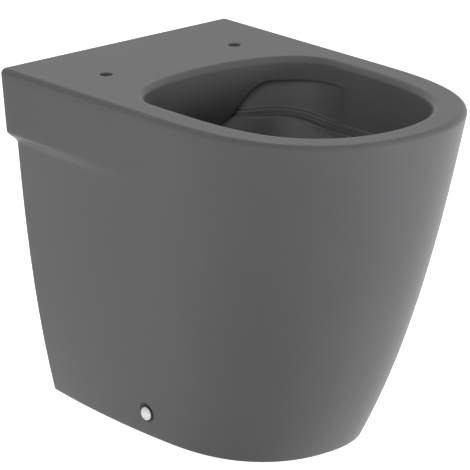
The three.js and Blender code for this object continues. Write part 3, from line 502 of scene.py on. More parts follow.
def make_casting():
    bm = bmesh.new()
    _, outer = skin(bm, skirt_rings(), cap_last=False)
    opening, _ = skin(bm, bowl_rings(bowl_angles(56, 60)), cap_first=False)
    edges = ring_edges(bm, outer) + ring_edges(bm, opening)
    for x, y in SEAT_HOLES:
        flare = [circle(x, y, HEIGHT, SEAT_HOLE_RADIUS + SEAT_HOLE_MARGIN)]
        flare += [circle(x, y, HEIGHT - SEAT_HOLE_ROUND * (1 - math.cos(a)),
                         SEAT_HOLE_RADIUS + SEAT_HOLE_ROUND * (1 - math.sin(a)))
                  for a in arc(5)]
        flare.append(circle(x, y, HEIGHT - DECK_THICKNESS - 4.0, SEAT_HOLE_RADIUS))
        first, _ = skin(bm, flare, cap_first=False)
        edges += ring_edges(bm, first)
    bmesh.ops.triangle_fill(bm, use_beauty=True, use_dissolve=False, edges=edges,
                            normal=(0, 0, 1))
    return as_object(bm, "pan_casting")


casting = make_casting()
print("casting", len(casting.data.vertices), "vertices")


# %% [markdown]
# ## The hollow behind the skirt
#
# The skirt is a shell that is open to the floor and to the wall. The hollow is a solid shaped
# like the skirt, drawn in by the wall's thickness. The bowl's outside, the trap, the outlet,
# the inlet and the lugs for the side fixings stand in it, so they are taken out of the hollow
# before the hollow is taken out of the casting.

# %% The hollow
COARSE = (28, 12, 3)


def hollow_rings():
    past = 10.0
    underside = HEIGHT - DECK_THICKNESS
    step = STEP_FOOT + SKIRT_WALL
    foot_top = FOOT_HEIGHT + FOOT_WIDTH - SKIRT_WALL
    rows = [(-past, FOOT_WIDTH), (FOOT_HEIGHT, FOOT_WIDTH)]
    rows += [(mix(foot_top, step - COVING, i / 8), SKIRT_WALL) for i in range(9)]
    rows += [(step + i / 4 * STEP_HEIGHT, SKIRT_WALL) for i in range(5)]
    rows += [(underside - COVING * (1 - i / 6), SKIRT_WALL + COVING * (i / 6) ** 2)
             for i in range(7)]
    rings = []
    for z, wall in rows:
        plan = drawn_in(skirt_plan(max(z, 0.0), z - SKIRT_WALL), wall, WALL_Y + past)
        plan["front"] += FRONT_BLOCK * smooth_step((z - step + COVING) / COVING)
        rings.append(skirt_ring(plan, z, *COARSE))
    return rings


def bowl_back_rings(angles):
    """The bowl's outside, one wall away from its inside."""
    rings = []
    for depth in (2.0, LIP_DEPTH, SHELF_FRONT + SHELF_PITCH + BOWL_WALL):
        ring = []
        for angle in angles:
            x, y = oval(angle, OPENING)
            out = gallery_depth(abs(x), y) - MOUTH_ROUND + BOWL_WALL
            ring.append(Vector((*oval(angle, grown(OPENING, out)), HEIGHT - depth)))
        rings.append(ring)
    steps = 2
    for i in range(steps, (len(BASIN) - 1) * steps + 1):
        z, size = basin_size(through(BASIN, i / steps))
        rings.append([Vector((*oval(a, grown(size, BOWL_WALL)), z - BOWL_WALL / 2))
                      for a in angles])
    return rings


# %% Pipes
TRAP_LINE = [(246.0, DIP), (208.0, DIP), (174.0, DIP + 13.0), (148.0, DIP + 58.0),
             (131.0, OUTLET_HEIGHT - 20.0), (112.0, OUTLET_HEIGHT - 2.0),
             (88.0, OUTLET_HEIGHT), (60.0, OUTLET_HEIGHT)]


def pipe_rings(line, radius, count=48, steps=5):
    """Rings of one radius along a curve in the plane X = 0."""
    total = (len(line) - 1) * steps
    points = [through(line, i / steps) for i in range(total + 1)]
    rings = []
    for i, (from_wall, z) in enumerate(points):
        ahead, back = points[min(i + 1, total)], points[max(i - 1, 0)]
        along = Vector((0, back[0] - ahead[0], ahead[1] - back[1])).normalized()
        up = Vector((0, -along.z, along.y))
        centre = Vector((0, WALL_Y - from_wall, z))
        rings.append([centre + radius * (math.cos(a) * Vector((1, 0, 0)) + math.sin(a) * up)
                      for a in once_round(count)])
    return rings


def turned_rings(profile, y, z, count=48):
    """A profile of (radius, distance) turned about an axis that points at the wall."""
    return [[Vector((r * math.cos(a), y + d, z + r * math.sin(a)))
             for a in once_round(count)] for r, d in profile]


def duct_rings(start, end, extra, steps=10, count=48):
    """The inlet's passage, from a round bore to the flat slot that feeds the chamber."""
    slot_z = HEIGHT - CHAMBER_ROOF - DUCT_BELOW_ROOF - DUCT_HALF_HEIGHT
    rings = []
    for i in range(steps + 1):
        t = smooth_step(i / steps)
        wide = mix(INLET_BORE, DUCT_HALF_WIDTH, t) + extra
        tall = mix(INLET_BORE, DUCT_HALF_HEIGHT, t) + extra
        z = mix(INLET_HEIGHT, slot_z, t)
        y = mix(end, start, i / steps)
        rings.append([Vector((wide * math.cos(a), y, z + tall * math.sin(a)))
                      for a in once_round(count)])
    return rings


AXIS = 0.05


def plug(radius, length):
    """Profile of a plain cylinder. Its middle is left open by a hair and capped."""
    return [(AXIS, 0.0), (radius, 0.0), (radius, length), (AXIS, length)]


CHAMBER_BACK = OPENING["rear"] - MOUTH_ROUND + RECESS + CHAMBER
horn = INLET_END - CHAMBER_BACK
horn_radius = SOCKET_RADIUS + INLET_WALL

# %% Lugs and drillings at the sides
SKIN_X = half_width_at(FIXING_Y, FIXING_Z)
LUG_FACE = half_width_at(FIXING_Y, 0.0) - FOOT_WIDTH
POCKET_X = SKIN_X - POCKET_DEPTH


def lug(side, width=46.0, height=54.0, radius=10.0):
    """The block inside the skirt that the floor bracket bears on."""
    depth = SKIN_X - SKIRT_WALL / 2 - LUG_FACE
    bm = bmesh.new()
    bmesh.ops.create_cube(bm, size=1.0)
    bmesh.ops.scale(bm, vec=(depth, width, height), verts=bm.verts)
    move(bm, side * (LUG_FACE + depth / 2), FIXING_Y, height / 2)
    top = [e for e in bm.edges if all(v.co.z > height / 2 for v in e.verts)
           and abs(e.verts[0].co.x - e.verts[1].co.x) > 1.0]
    bmesh.ops.bevel(bm, geom=top, offset=radius, segments=8, profile=0.5, affect="EDGES",
                    material=-1)
    return as_object(bm, "lug", bare=1.0)


def side_turned(profile, side, x, count=56):
    """A profile of (radius, distance out) turned about the axis of a side fixing."""
    return [[Vector((side * (x + d), FIXING_Y + side * r * math.cos(a),
                     FIXING_Z + r * math.sin(a)))
             for a in once_round(count)] for r, d in profile]


def side_drill(side):
    """The pocket for the cap and the hole behind it, with a soft glazed edge."""
    tip = LUG_FACE - POCKET_X - 2.0
    profile = [(AXIS, tip), (FIXING_HOLE, tip), (FIXING_HOLE, -0.8), (FIXING_HOLE + 0.8, 0.0),
               (DISH_FLOOR, 0.0)]
    profile += [(mix(DISH_FLOOR, DISH_RIM, t), POCKET_DEPTH * smooth_step(t))
                for t in (i / 14 for i in range(1, 15))]
    profile += [(DISH_RIM + 1.0, POCKET_DEPTH + 6.0), (AXIS, POCKET_DEPTH + 6.0)]
    return solid_of("drill", side_turned(profile, side, POCKET_X))


# %% Cut the shell, the trap and the drillings
hollow = solid_of("hollow", hollow_rings(), bare=1.0)
spigot = [(AXIS, 0.0), (TRAP_RADIUS + TRAP_WALL, 0.0), (OUTLET_RADIUS - 2.5, 8.0),
          (OUTLET_RADIUS - 2.5, OUTLET_LENGTH - 12.0), (OUTLET_RADIUS - 0.4, OUTLET_LENGTH - 8.6),
          (OUTLET_RADIUS, OUTLET_LENGTH - 7.6), (OUTLET_RADIUS, OUTLET_LENGTH - 2.4),
          (OUTLET_RADIUS - 0.7, OUTLET_LENGTH - 0.7), (OUTLET_RADIUS - 2.4, OUTLET_LENGTH),
          (AXIS, OUTLET_LENGTH)]
inlet = [(AXIS, 0.0), (horn_radius - 3.0, 0.0), (horn_radius, 6.0), (horn_radius, horn - 3.0),
         (horn_radius - 0.9, horn - 0.9), (horn_radius - 3.0, horn), (AXIS, horn)]
carve(hollow, "DIFFERENCE",
      solid_of("bowl_back", bowl_back_rings(bowl_angles(28, 24)), bare=1.0),
      solid_of("trap_outside", pipe_rings(TRAP_LINE, TRAP_RADIUS + TRAP_WALL), bare=1.0),
      solid_of("spigot", turned_rings(spigot, OUTLET_END - OUTLET_LENGTH, OUTLET_HEIGHT),
               bare=1.0),
      solid_of("inlet_horn", turned_rings(inlet, CHAMBER_BACK, INLET_HEIGHT), bare=1.0),
      solid_of("duct_outside", duct_rings(CHAMBER_BACK - 4.0, INLET_END - SOCKET_DEPTH - 4.0,
                                          INLET_WALL), bare=1.0),
      lug(-1), lug(1))
carve(casting, "DIFFERENCE", hollow)
socket, mouth = plug(SOCKET_RADIUS, SOCKET_DEPTH + 5.0), plug(TRAP_RADIUS, 12.0)
carve(casting, "DIFFERENCE",
      solid_of("trap", pipe_rings(TRAP_LINE, TRAP_RADIUS)),
      solid_of("mouth", turned_rings(mouth, OUTLET_END - 6.0, OUTLET_HEIGHT)),
      solid_of("socket", turned_rings(socket, INLET_END - SOCKET_DEPTH, INLET_HEIGHT)),
      solid_of("duct", duct_rings(CHAMBER_BACK - 8.0, INLET_END - SOCKET_DEPTH + 1.0, 0.0)),
      side_drill(-1), side_drill(1))
print("casting after cutting", len(casting.data.polygons), "faces")

# %% [markdown]
# Smooth shading makes the rows of faces read as one glazed surface. Edges that turn sharply,
# such as where the hollow meets the back edge, stay sharp.

# %% Smooth shading
def shade(piece, degrees=32.0):
    piece.data.shade_smooth()
    piece.data.set_sharp_from_angle(angle=math.radians(degrees))


shade(casting)
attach(casting, "pan")
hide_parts("pan")


# %% [markdown]
# ## Finishes
#
# A finish is a small network of shader nodes. Written as expressions it reads like the recipe
# for a glaze, so one class wraps a socket and gives it plus, minus and times.

# %% Shader expressions
class Wire:
    """An output socket that can be used in arithmetic."""

    def __init__(self, finish, node, socket=0):
        self.finish, self.node, self.socket = finish, node, node.outputs[socket]

    def __getitem__(self, name):
        return Wire(self.finish, self.node, name)

    def maths(self, operation, a, b):
        return self.finish.node("ShaderNodeMath", {"operation": operation}, {0: a, 1: b})

    def __add__(self, other):
        return self.maths("ADD", self, other)

    def __sub__(self, other):
        return self.maths("SUBTRACT", self, other)

    def __rsub__(self, other):
        return self.maths("SUBTRACT", other, self)

    def __mul__(self, other):
        return self.maths("MULTIPLY", self, other)

    __radd__, __rmul__ = __add__, __mul__


class Network:
    """A tree of shader nodes that are added and linked through node()."""

    def __init__(self, tree):
        self.tree = tree

    def node(self, kind, settings=None, inputs=None):
        """Adds a node, gives it its settings, and then links or sets its inputs."""
        node = self.tree.nodes.new(kind)
        for key, value in (settings or {}).items():
            if key == "stops":
                ramp = node.color_ramp
                while len(ramp.elements) < len(value):
                    ramp.elements.new(1.0)
                for element, (position, colour) in zip(ramp.elements, value):
                    element.position, element.color = position, (*colour, 1.0)
            else:
                setattr(node, key, value)
        for key, value in (inputs or {}).items():
            self.feed(node.inputs[key], value)
        return Wire(self, node)

    def feed(self, socket, value):
        if isinstance(value, Wire):
            self.tree.links.new(value.socket, socket)
        else:
            socket.default_value = value

    def blend(self, factor, a, b):
        """Two colours mixed by a factor."""
        return self.node("ShaderNodeMix", {"data_type": "RGBA"}, {0: factor, 6: a, 7: b})[2]

    def seen(self):
        """1 for the camera's rays and for those that metal or glass sends on, else 0."""
        path = self.node("ShaderNodeLightPath")
        seen = path["Is Camera Ray"]
        for kind in ("Glossy", "Transmission"):
            seen = self.node("ShaderNodeMath", {"operation": "MAXIMUM"},
                             {0: seen, 1: path[f"Is {kind} Ray"]})
        return seen


class Finish(Network):
    """A material with one Principled shader."""

    def __init__(self, name, **fixed):
        self.material = bpy.data.materials.new(name)
        self.material.use_nodes = True
        super().__init__(self.material.node_tree)
        self.shader = next(n for n in self.tree.nodes if n.type == "BSDF_PRINCIPLED")
        self.place = self.node("ShaderNodeTexCoord")["Object"]
        for socket, value in fixed.items():
            self.shader.inputs[socket.replace("_", " ")].default_value = value

    def set(self, socket, value):
        self.feed(self.shader.inputs[socket], value)

    def noise(self, scale, detail=2.0, roughness=0.5):
        return self.node("ShaderNodeTexNoise", None, {
            "Vector": self.place, "Scale": scale, "Detail": detail, "Roughness": roughness})

    def steps(self, value, stops):
        return self.node("ShaderNodeValToRGB", {"stops": stops}, {"Fac": value})

    def bump(self, height, distance, strength=1.0):
        self.set("Normal", self.node("ShaderNodeBump", None, {
            "Height": height, "Distance": distance, "Strength": strength}))


def grey(value):
    return (value, value, value, 1.0)


# %% [markdown]
# ### Matt glaze
#
# A matt glaze is a dark colour under a skin that is microscopically rough, so the room lies on
# it as a soft veil. Close up it has a faint orange peel from the fired surface, and a very fine
# speckle where crystals grew.

# %% Glaze
SPRAY_FADE, SPRAY_DRIP, SPRAY_START = 45.0, 1.6, 1.4


def glaze_finish():
    """Glaze everywhere but inside the shell, where it thins out to bare biscuit china."""
    glaze = Finish("matt_glaze", Specular_IOR_Level=0.36)
    cloud, speckle = glaze.noise(9.0, 3.0), glaze.noise(1400.0, 1.0)
    tone = glaze.steps(cloud * 0.8 + speckle * 0.2, [(0.3, (0.069, 0.069, 0.072)),
                                                    (0.7, (0.078, 0.078, 0.081))])
    drip, pit = glaze.noise(70.0, 4.0, 0.6), glaze.noise(900.0, 3.0, 0.6)
    china = glaze.steps(drip * 0.7 + pit * 0.3, [(0.3, (0.50, 0.47, 0.41)),
                                                 (0.7, (0.64, 0.61, 0.55))])
    mark = glaze.node("ShaderNodeAttribute", {"attribute_name": "bare"})["Fac"]
    split = glaze.node("ShaderNodeSeparateXYZ", None, {"Vector": glaze.place})
    inward = (split["Y"] * -1.0 + WALL_Y * MM) * SPRAY_FADE + drip * SPRAY_DRIP - SPRAY_START
    upward = split["Z"] * SPRAY_FADE + drip * SPRAY_DRIP - SPRAY_START
    spray = glaze.node("ShaderNodeMath", {"operation": "MINIMUM", "use_clamp": True},
                       {0: inward, 1: upward})
    foot = glaze.node("ShaderNodeMath", {"operation": "LESS_THAN"}, {0: split["Z"], 1: 0.0003})
    bare = glaze.node("ShaderNodeMath", {"operation": "MAXIMUM"}, {0: mark * spray, 1: foot})
    glaze.set("Base Color", glaze.blend(bare, tone, china))
    glaze.set("Roughness", cloud * 0.06 + speckle * 0.05 + 0.34 + bare * 0.4)
    glaze.bump(glaze.noise(260.0, 2.0) * 0.8 + speckle * 0.2 + bare * (pit * 4.0 - 2.0),
               0.00002, 0.5)
    return glaze.material


casting.data.materials.clear()
casting.data.materials.append(glaze_finish())

# %% [markdown]
# ### Nylon, steel, chrome and rubber
#
# Each small finish has one thing that gives it away. Moulded nylon is milky, with a faint
# flow pattern. Plated steel is mottled and a little warm. A satin chrome cap has fine rings
# from polishing. Rubber is dull, with a dusty bloom in patches.

# %% Finishes of the fixing kit
def nylon_finish():
    nylon = Finish("moulded_nylon", Subsurface_Weight=0.06)
    flow, grain = nylon.noise(45.0, 3.0), nylon.noise(1500.0, 2.0)
    nylon.set("Base Color", nylon.steps(flow, [(0.3, (0.62, 0.60, 0.54)),
                                               (0.7, (0.72, 0.70, 0.64))]))
    nylon.set("Roughness", flow * 0.12 + 0.44)
    nylon.bump(grain * 0.7 + flow * 0.3, 0.00004, 0.6)
    return nylon.material


def steel_finish():
    steel = Finish("plated_steel", Metallic=1.0)
    mottle, grain = steel.noise(160.0, 4.0, 0.6), steel.noise(1800.0, 2.0)
    steel.set("Base Color", steel.steps(mottle, [(0.3, (0.50, 0.49, 0.45)),
                                                 (0.7, (0.66, 0.66, 0.64))]))
    steel.set("Roughness", mottle * 0.25 + 0.24)
    steel.bump(grain * 0.6 + mottle * 0.4, 0.00003, 0.6)
    return steel.material


def chrome_finish():
    """The polishing rings follow the distance from the fixing's axis."""
    chrome = Finish("satin_chrome", Metallic=1.0)
    turned = chrome.node("ShaderNodeMapping", None, {
        "Vector": chrome.place, "Location": (0, -FIXING_Y * MM, -FIXING_Z * MM)})
    rings = chrome.node("ShaderNodeTexWave", {
        "wave_type": "RINGS", "rings_direction": "X"}, {
        "Vector": turned, "Scale": 900.0, "Distortion": 1.5, "Detail": 2.0})["Fac"]
    haze = chrome.noise(220.0, 3.0)
    chrome.set("Base Color", chrome.steps(haze, [(0.3, (0.52, 0.52, 0.53)),
                                                 (0.7, (0.60, 0.60, 0.61))]))
    chrome.set("Roughness", haze * 0.12 + rings * 0.05 + 0.26)
    chrome.bump(rings, 0.00001, 0.4)
    return chrome.material


def rubber_finish():
    rubber = Finish("seal_rubber", Specular_IOR_Level=0.35)
    bloom, grain = rubber.noise(38.0, 4.0, 0.6), rubber.noise(1100.0, 2.0)
    rubber.set("Base Color", rubber.steps(bloom, [(0.45, (0.018, 0.018, 0.019)),
                                                  (0.75, (0.045, 0.045, 0.047))]))
    rubber.set("Roughness", bloom * 0.2 + 0.58)
    rubber.bump(grain * 0.7 + bloom * 0.3, 0.00006, 0.7)
    return rubber.material


NYLON, STEEL, CHROME, RUBBER = (nylon_finish(), steel_finish(), chrome_finish(),
                                rubber_finish())

# %% [markdown]
# ## Turned pieces
#
# Caps, bushes, washers and pipe seals are all turned: one line spun round an axis, as on a
# lathe. The line is given by its corners, and each corner may be rounded, because no moulded
# or pressed piece has a truly sharp edge, and the rounding is what catches the light.

# %% Lines and turning
CLEAR = 0.3
SIDES = [("left", -1), ("right", 1)]


def eased(corners, closed=False, steps=4):
    """A line through corners (x, y) or (x, y, radius), with the corners rounded."""
    line = []
    for i, corner in enumerate(corners):
        here = Vector(corner[:2])
        if len(corner) < 3 or (not closed and i in (0, len(corners) - 1)):
            line.append(tuple(here))
            continue
        before = Vector(corners[i - 1][:2]) - here
        after = Vector(corners[(i + 1) % len(corners)][:2]) - here
        start = here + before.normalized() * min(corner[2], 0.45 * before.length)
        end = here + after.normalized() * min(corner[2], 0.45 * after.length)
        for t in (k / steps for k in range(steps + 1)):
            line.append(tuple(start * (1 - t) ** 2 + here * 2 * t * (1 - t) + end * t ** 2))
    return line


def wire(bm, points, closed=False):
    """A line of vertices and edges, returned as one list."""
    verts = [bmesh.ops.create_vert(bm, co=point)["vert"][0] for point in points]
    pairs = list(zip(verts, verts[1:] + (verts[:1] if closed else [])))
    edges = [bmesh.ops.contextual_create(bm, geom=pair)["edges"][0] for pair in pairs]
    return verts + edges


def turn(bm, line, closed=False, steps=72):
    """Spins a line of (radius, height) once round Z."""
    geom = wire(bm, [(max(r, 0.0), 0, h) for r, h in line], closed)
    bmesh.ops.spin(bm, geom=geom, cent=(0, 0, 0), axis=(0, 0, 1), angle=2 * math.pi,
                   steps=steps, use_merge=True)
    bmesh.ops.remove_doubles(bm, verts=bm.verts, dist=1e-4)


def turned(corners, steps, closed=True, ease=4):
    """A new bmesh of eased corners spun once round Z."""
    bm = bmesh.new()
    turn(bm, eased(corners, closed, ease), closed, steps)
    return bm


def thread(bm, root, crest, pitch, low, high, steps=20):
    """A screw thread's ridge: a small triangle swept up a helix, closed at both ends."""
    turns = (high - low) / pitch
    count = round(turns * steps)
    inside = root - 0.3
    triangle = [(inside, 0, low - 0.42 * pitch), (crest, 0, low), (inside, 0, low + 0.42 * pitch)]
    geom = wire(bm, triangle, closed=True)
    first = [part for part in geom if isinstance(part, bmesh.types.BMEdge)]
    last = bmesh.ops.spin(bm, geom=geom, cent=(0, 0, 0), axis=(0, 0, 1),
                          dvec=(0, 0, pitch / steps), angle=count / steps * 2 * math.pi,
                          steps=count)["geom_last"]
    bmesh.ops.contextual_create(bm, geom=first)
    bmesh.ops.contextual_create(bm, geom=[p for p in last if isinstance(p, bmesh.types.BMEdge)])


def lay(bm, side, out):
    """Lays a turned shape down so that its axis points out of one side of the pan."""
    swing(bm, side * math.pi / 2, "Y")
    move(bm, side * out, FIXING_Y, FIXING_Z)


def to_wall(bm, y, z):
    """Lays a turned shape down so that its axis points at the wall."""
    swing(bm, -math.pi / 2, "X")
    move(bm, 0, y, z)


def fit(piece, node, body, material, degrees=32.0):
    """Gives a finished piece its finish and its body, and hides the CAD node that it stands for.
    """
    shade(piece, degrees)
    piece.data.materials.clear()
    piece.data.materials.append(material)
    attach(piece, body)
    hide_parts(node)


# %% [markdown]
# ## Side fixings
#
# At each side a nylon bush sits in the china, so that the steel screw never touches it, and a
# domed cap snaps over the bush. The screw has a pan head with a cross recess. It is turned,
# its thread is swept up a helix, and the recess is cut with a small four-armed drill.

# %% Screw caps
FLANGE_SEAT = POCKET_X + CLEAR
FLANGE, FLANGE_HIGH, SLEEVE_LONG = 7.2, 2.4, 15.0
HEAD_HIGH, SCREW_RADIUS, HEAD_RADIUS = 3.4, 3.0, 5.0
CAP_INSIDE, CAP_OUTSIDE, CAP_RISE = FLANGE + CLEAR, FLANGE + CLEAR + 1.0, 3.2
CAP_SKIRT = FLANGE_HIGH + CLEAR + 0.4 * HEAD_HIGH


def dome(radius, base, rise, steps=14, power=0.86):
    """From the rim of a dome to its top. A power under 1 gives it a fuller shoulder."""
    return [(radius * math.cos(a) ** power if a < 1.57 else 0.0, base + rise * math.sin(a))
            for a in arc(steps)]


def make_cap(side, name):
    bm = bmesh.new()
    line = list(reversed(dome(CAP_INSIDE, CAP_SKIRT, CAP_RISE)))
    line += [(CAP_INSIDE, 0.5), (CAP_INSIDE + 0.3, 0.0), (CAP_OUTSIDE - 0.3, 0.0),
             (CAP_OUTSIDE - 0.08, 0.08), (CAP_OUTSIDE, 0.3)]
    line += dome(CAP_OUTSIDE, CAP_SKIRT, CAP_RISE + 1.0)
    turn(bm, line)
    lay(bm, side, FLANGE_SEAT)
    return as_object(bm, name)


for word, side in SIDES:
    fit(make_cap(side, f"cap_dome_{word}"), f"screw_cap_{word}", f"cap_{word}",
        CHROME, 50)
print("cap", round(2 * CAP_OUTSIDE, 1), "mm across")


# %% Bushes
def make_bush(side, name):
    sleeve, bore = FIXING_HOLE - CLEAR, SCREW_RADIUS + CLEAR
    corners = [(bore, -SLEEVE_LONG, 0.4), (sleeve - 0.8, -SLEEVE_LONG, 0.3),
               (sleeve, 1.6 - SLEEVE_LONG, 0.6), (sleeve, -10.0, 0.2), (sleeve - 0.35, -9.6, 0.2),
               (sleeve - 0.35, -8.4, 0.2), (sleeve, -8.0, 0.2), (sleeve, -5.0, 0.2),
               (sleeve - 0.35, -4.6, 0.2), (sleeve - 0.35, -3.4, 0.2), (sleeve, -3.0, 0.2),
               (sleeve, 0.0, 0.2), (FLANGE, 0.0, 0.3), (FLANGE, FLANGE_HIGH, 0.6),
               (bore, FLANGE_HIGH, 0.4)]
    bm = turned(corners, 48)
    lay(bm, side, FLANGE_SEAT)
    return as_object(bm, name)


for word, side in SIDES:
    fit(make_bush(side, f"nylon_bush_{word}"), f"side_bush_{word}", "pan", NYLON)


# %% Side screws
BRACKET_FACE, BRACKET_THICK, SCREW_TAIL = LUG_FACE - CLEAR, 7.0, 6.0
SCREW_SEAT = FLANGE_SEAT + FLANGE_HIGH + CLEAR
SCREW_LONG = SCREW_SEAT - (BRACKET_FACE - BRACKET_THICK - SCREW_TAIL)


def cross_drill():
    """Four tapering arms that cut the recess in the screw's head."""
    arms = []
    for angle in (0.0, math.pi / 2):
        bm = bmesh.new()
        bmesh.ops.create_cone(bm, cap_ends=True, segments=4, radius1=1.3, radius2=3.2, depth=3.0)
        swing(bm, math.pi / 4, "Z")
        bmesh.ops.scale(bm, vec=(1.0, 0.28, 1.0), verts=bm.verts)
        swing(bm, angle, "Z")
        move(bm, 0, 0, HEAD_HIGH)
        arms.append(as_object(bm, "arm"))
    return arms


def make_side_screw(side, name):
    root = SCREW_RADIUS - 0.5
    corners = [(0.0, -SCREW_LONG), (1.2, -SCREW_LONG, 0.5), (root, 2.6 - SCREW_LONG, 0.5),
               (root, 0.0, 0.2), (HEAD_RADIUS, 0.0, 0.3), (HEAD_RADIUS, 0.4 * HEAD_HIGH, 0.8),
               (0.8 * HEAD_RADIUS, 0.8 * HEAD_HIGH, 0.9), (0.4 * HEAD_RADIUS, HEAD_HIGH, 1.2),
               (0.0, HEAD_HIGH)]
    bm = turned(corners, 48, closed=False)
    bm = reopen(carve(as_object(bm, name), "DIFFERENCE", *cross_drill()))
    thread(bm, root, SCREW_RADIUS, 2.2, 3.0 - SCREW_LONG, -6.0)
    lay(bm, side, SCREW_SEAT)
    return as_object(bm, name)


for word, side in SIDES:
    fit(make_side_screw(side, f"cross_screw_{word}"), f"side_screw_{word}", "pan", STEEL)
print("side screw", round(SCREW_LONG + HEAD_HIGH, 1), "mm long")


# %% [markdown]
# ## Floor brackets, washers and floor screws
#
# The pan is let down over two moulded angles that are screwed to the floor. Each is one
# profile drawn out along the wall's direction, with a rib at each end, a drilled upright and
# a slotted foot, so that the pan can be lined up. A bevel modifier gives the moulded edges.

# %% Floor brackets
BRACKET_HALF, BRACKET_FOOT, BRACKET_TALL, FLOOR_SCREW = 19.0, 40.0, 46.0, 4.0
SLOT_IN = (BRACKET_FOOT + BRACKET_THICK) / 2 + 1.0
SLOT_TRAVEL, RIB_THICK = 12.0, 3.0


def bar(outline, y_from, y_to):
    """An outline of (x, z) drawn out along Y."""
    bm = bmesh.new()
    edges = wire(bm, [(x, y_from, z) for x, z in outline], closed=True)
    face = bmesh.ops.contextual_create(bm, geom=edges)["faces"]
    grown = bmesh.ops.extrude_face_region(bm, geom=face)["geom"]
    bmesh.ops.translate(bm, vec=(0, y_to - y_from, 0),
                        verts=[v for v in grown if isinstance(v, bmesh.types.BMVert)])
    return as_object(bm, "bar")


def rod(radius, low, high, x=0.0, z=None):
    """A drill: upright where z is None, and otherwise along X at height z."""
    bm = bmesh.new()
    bmesh.ops.create_cone(bm, cap_ends=True, segments=40, radius1=radius, radius2=radius,
                          depth=high - low)
    move(bm, 0, 0, (low + high) / 2)
    if z is not None:
        swing(bm, math.pi / 2, "Y")
    move(bm, x, 0, z or 0.0)
    return as_object(bm, "rod")


def slot_cutter(radius):
    bm = bmesh.new()
    bmesh.ops.create_cube(bm, size=1.0)
    bmesh.ops.scale(bm, vec=(SLOT_TRAVEL, 2 * radius, 24.0), verts=bm.verts)
    move(bm, -SLOT_IN, 0, 0)
    return as_object(bm, "slot")


def make_bracket(side, name):
    t, foot, tall = BRACKET_THICK, BRACKET_FOOT, BRACKET_TALL
    angle = eased([(0, 0), (0, tall, 2.5), (-t, tall, 2.5), (-t, t, 5.0), (-foot, t, 2.0),
                   (-foot, 0)], closed=True, steps=6)
    rib = [(-t / 2, t / 2), (-t / 2, tall - 4), (-t, tall - 4), (3 - foot, t), (3 - foot, t / 2)]
    bracket = bar(angle, -BRACKET_HALF, BRACKET_HALF)
    carve(bracket, "UNION", bar(rib, -BRACKET_HALF, RIB_THICK - BRACKET_HALF),
          bar(rib, BRACKET_HALF - RIB_THICK, BRACKET_HALF))
    hole, wide = SCREW_RADIUS + CLEAR, FLOOR_SCREW + CLEAR
    carve(bracket, "DIFFERENCE", rod(hole, -20, 20, z=FIXING_Z), slot_cutter(wide),
          rod(wide, -10, 20, x=-SLOT_IN - SLOT_TRAVEL / 2),
          rod(wide, -10, 20, x=-SLOT_IN + SLOT_TRAVEL / 2))
    bm = reopen(bracket)
    if side < 0:
        swing(bm, math.pi, "Z")
    move(bm, side * BRACKET_FACE, FIXING_Y, 0)
    piece = as_object(bm, name)
    edge = piece.modifiers.new("moulded_edges", "BEVEL")
    edge.limit_method, edge.angle_limit = "ANGLE", math.radians(50)
    edge.width, edge.segments = 0.5 * MM, 2
    return piece


for word, side in SIDES:
    fit(make_bracket(side, f"moulded_bracket_{word}"), f"floor_bracket_{word}", "pan",
        NYLON)

# %% Washers and floor screws
SCREW_X = BRACKET_FACE - SLOT_IN
WASHER_SEAT = BRACKET_THICK + CLEAR
WASHER_RADIUS, WASHER_HIGH = 10.0, 1.6
HEX_SEAT = WASHER_SEAT + WASHER_HIGH + CLEAR
HEX_FLATS, HEX_HIGH = 13.0, 5.3


def make_washer(side, name):
    bore = FLOOR_SCREW + CLEAR
    bm = turned([(bore, 0, 0.2), (WASHER_RADIUS, 0, 0.5), (WASHER_RADIUS, WASHER_HIGH, 0.2),
                 (bore, WASHER_HIGH, 0.5)], 56)
    move(bm, side * SCREW_X, FIXING_Y, WASHER_SEAT)
    return as_object(bm, name)


def make_floor_screw(side, name):
    """A hexagon head cut to its crown by a turned cone, on a threaded shank."""
    bm = bmesh.new()
    bmesh.ops.create_cone(bm, cap_ends=True, segments=6, radius1=HEX_FLATS / math.sqrt(3),
                          radius2=HEX_FLATS / math.sqrt(3), depth=HEX_HIGH)
    move(bm, 0, 0, HEX_HIGH / 2)
    head = as_object(bm, name)
    bm = turned([(0, -1.0), (9.0, -1.0), (9.0, HEX_HIGH - 2.6), (0.47 * HEX_FLATS, HEX_HIGH),
                 (0, HEX_HIGH)], 60, closed=False)
    bm = reopen(carve(head, "INTERSECT", as_object(bm, "crown")))
    root = FLOOR_SCREW - 0.6
    turn(bm, [(0.0, -HEX_SEAT), (root, -HEX_SEAT), (root, 0.8), (0.0, 0.8)], steps=40)
    thread(bm, root, FLOOR_SCREW, 2.6, 1.2 - HEX_SEAT, -1.2)
    move(bm, side * SCREW_X, FIXING_Y, HEX_SEAT)
    return as_object(bm, name)


for word, side in SIDES:
    fit(make_washer(side, f"plated_washer_{word}"), f"floor_washer_{word}", "pan", STEEL)
    fit(make_floor_screw(side, f"hex_screw_{word}"), f"floor_screw_{word}", "pan", STEEL)


# %% [markdown]
# ## Rubber seals
#
# Two seals join the pan to the pipes in the wall: a collar with fins outside, over the outlet,
# and a cone with fins inside, in the flush inlet. A fin is a thin tongue that leans back, so a
# pipe slides past it easily and grips when pulled.

# %% Seals
SEAL_WALL, SEAL_FIN, SEAL_LIP, SEAL_MARGIN = 3.0, 3.5, 6.0, 2.0
COLLAR_LONG, CONE_FLANGE, END_GAP = 30.0, 4.0, 1.0


def fins(radius, height, low, high, count=3):
    """Corners of saw-tooth fins that stand out from a sleeve."""
    pitch = (high - low) / count
    tooth = [(0, 0.0, 0.5), (height, 0.25, 0.35), (height, 0.4, 0.35), (0, 0.75, 0.5)]
    return [(radius + out, low + (i + share) * pitch, ease)
            for i in range(count) for out, share, ease in tooth]


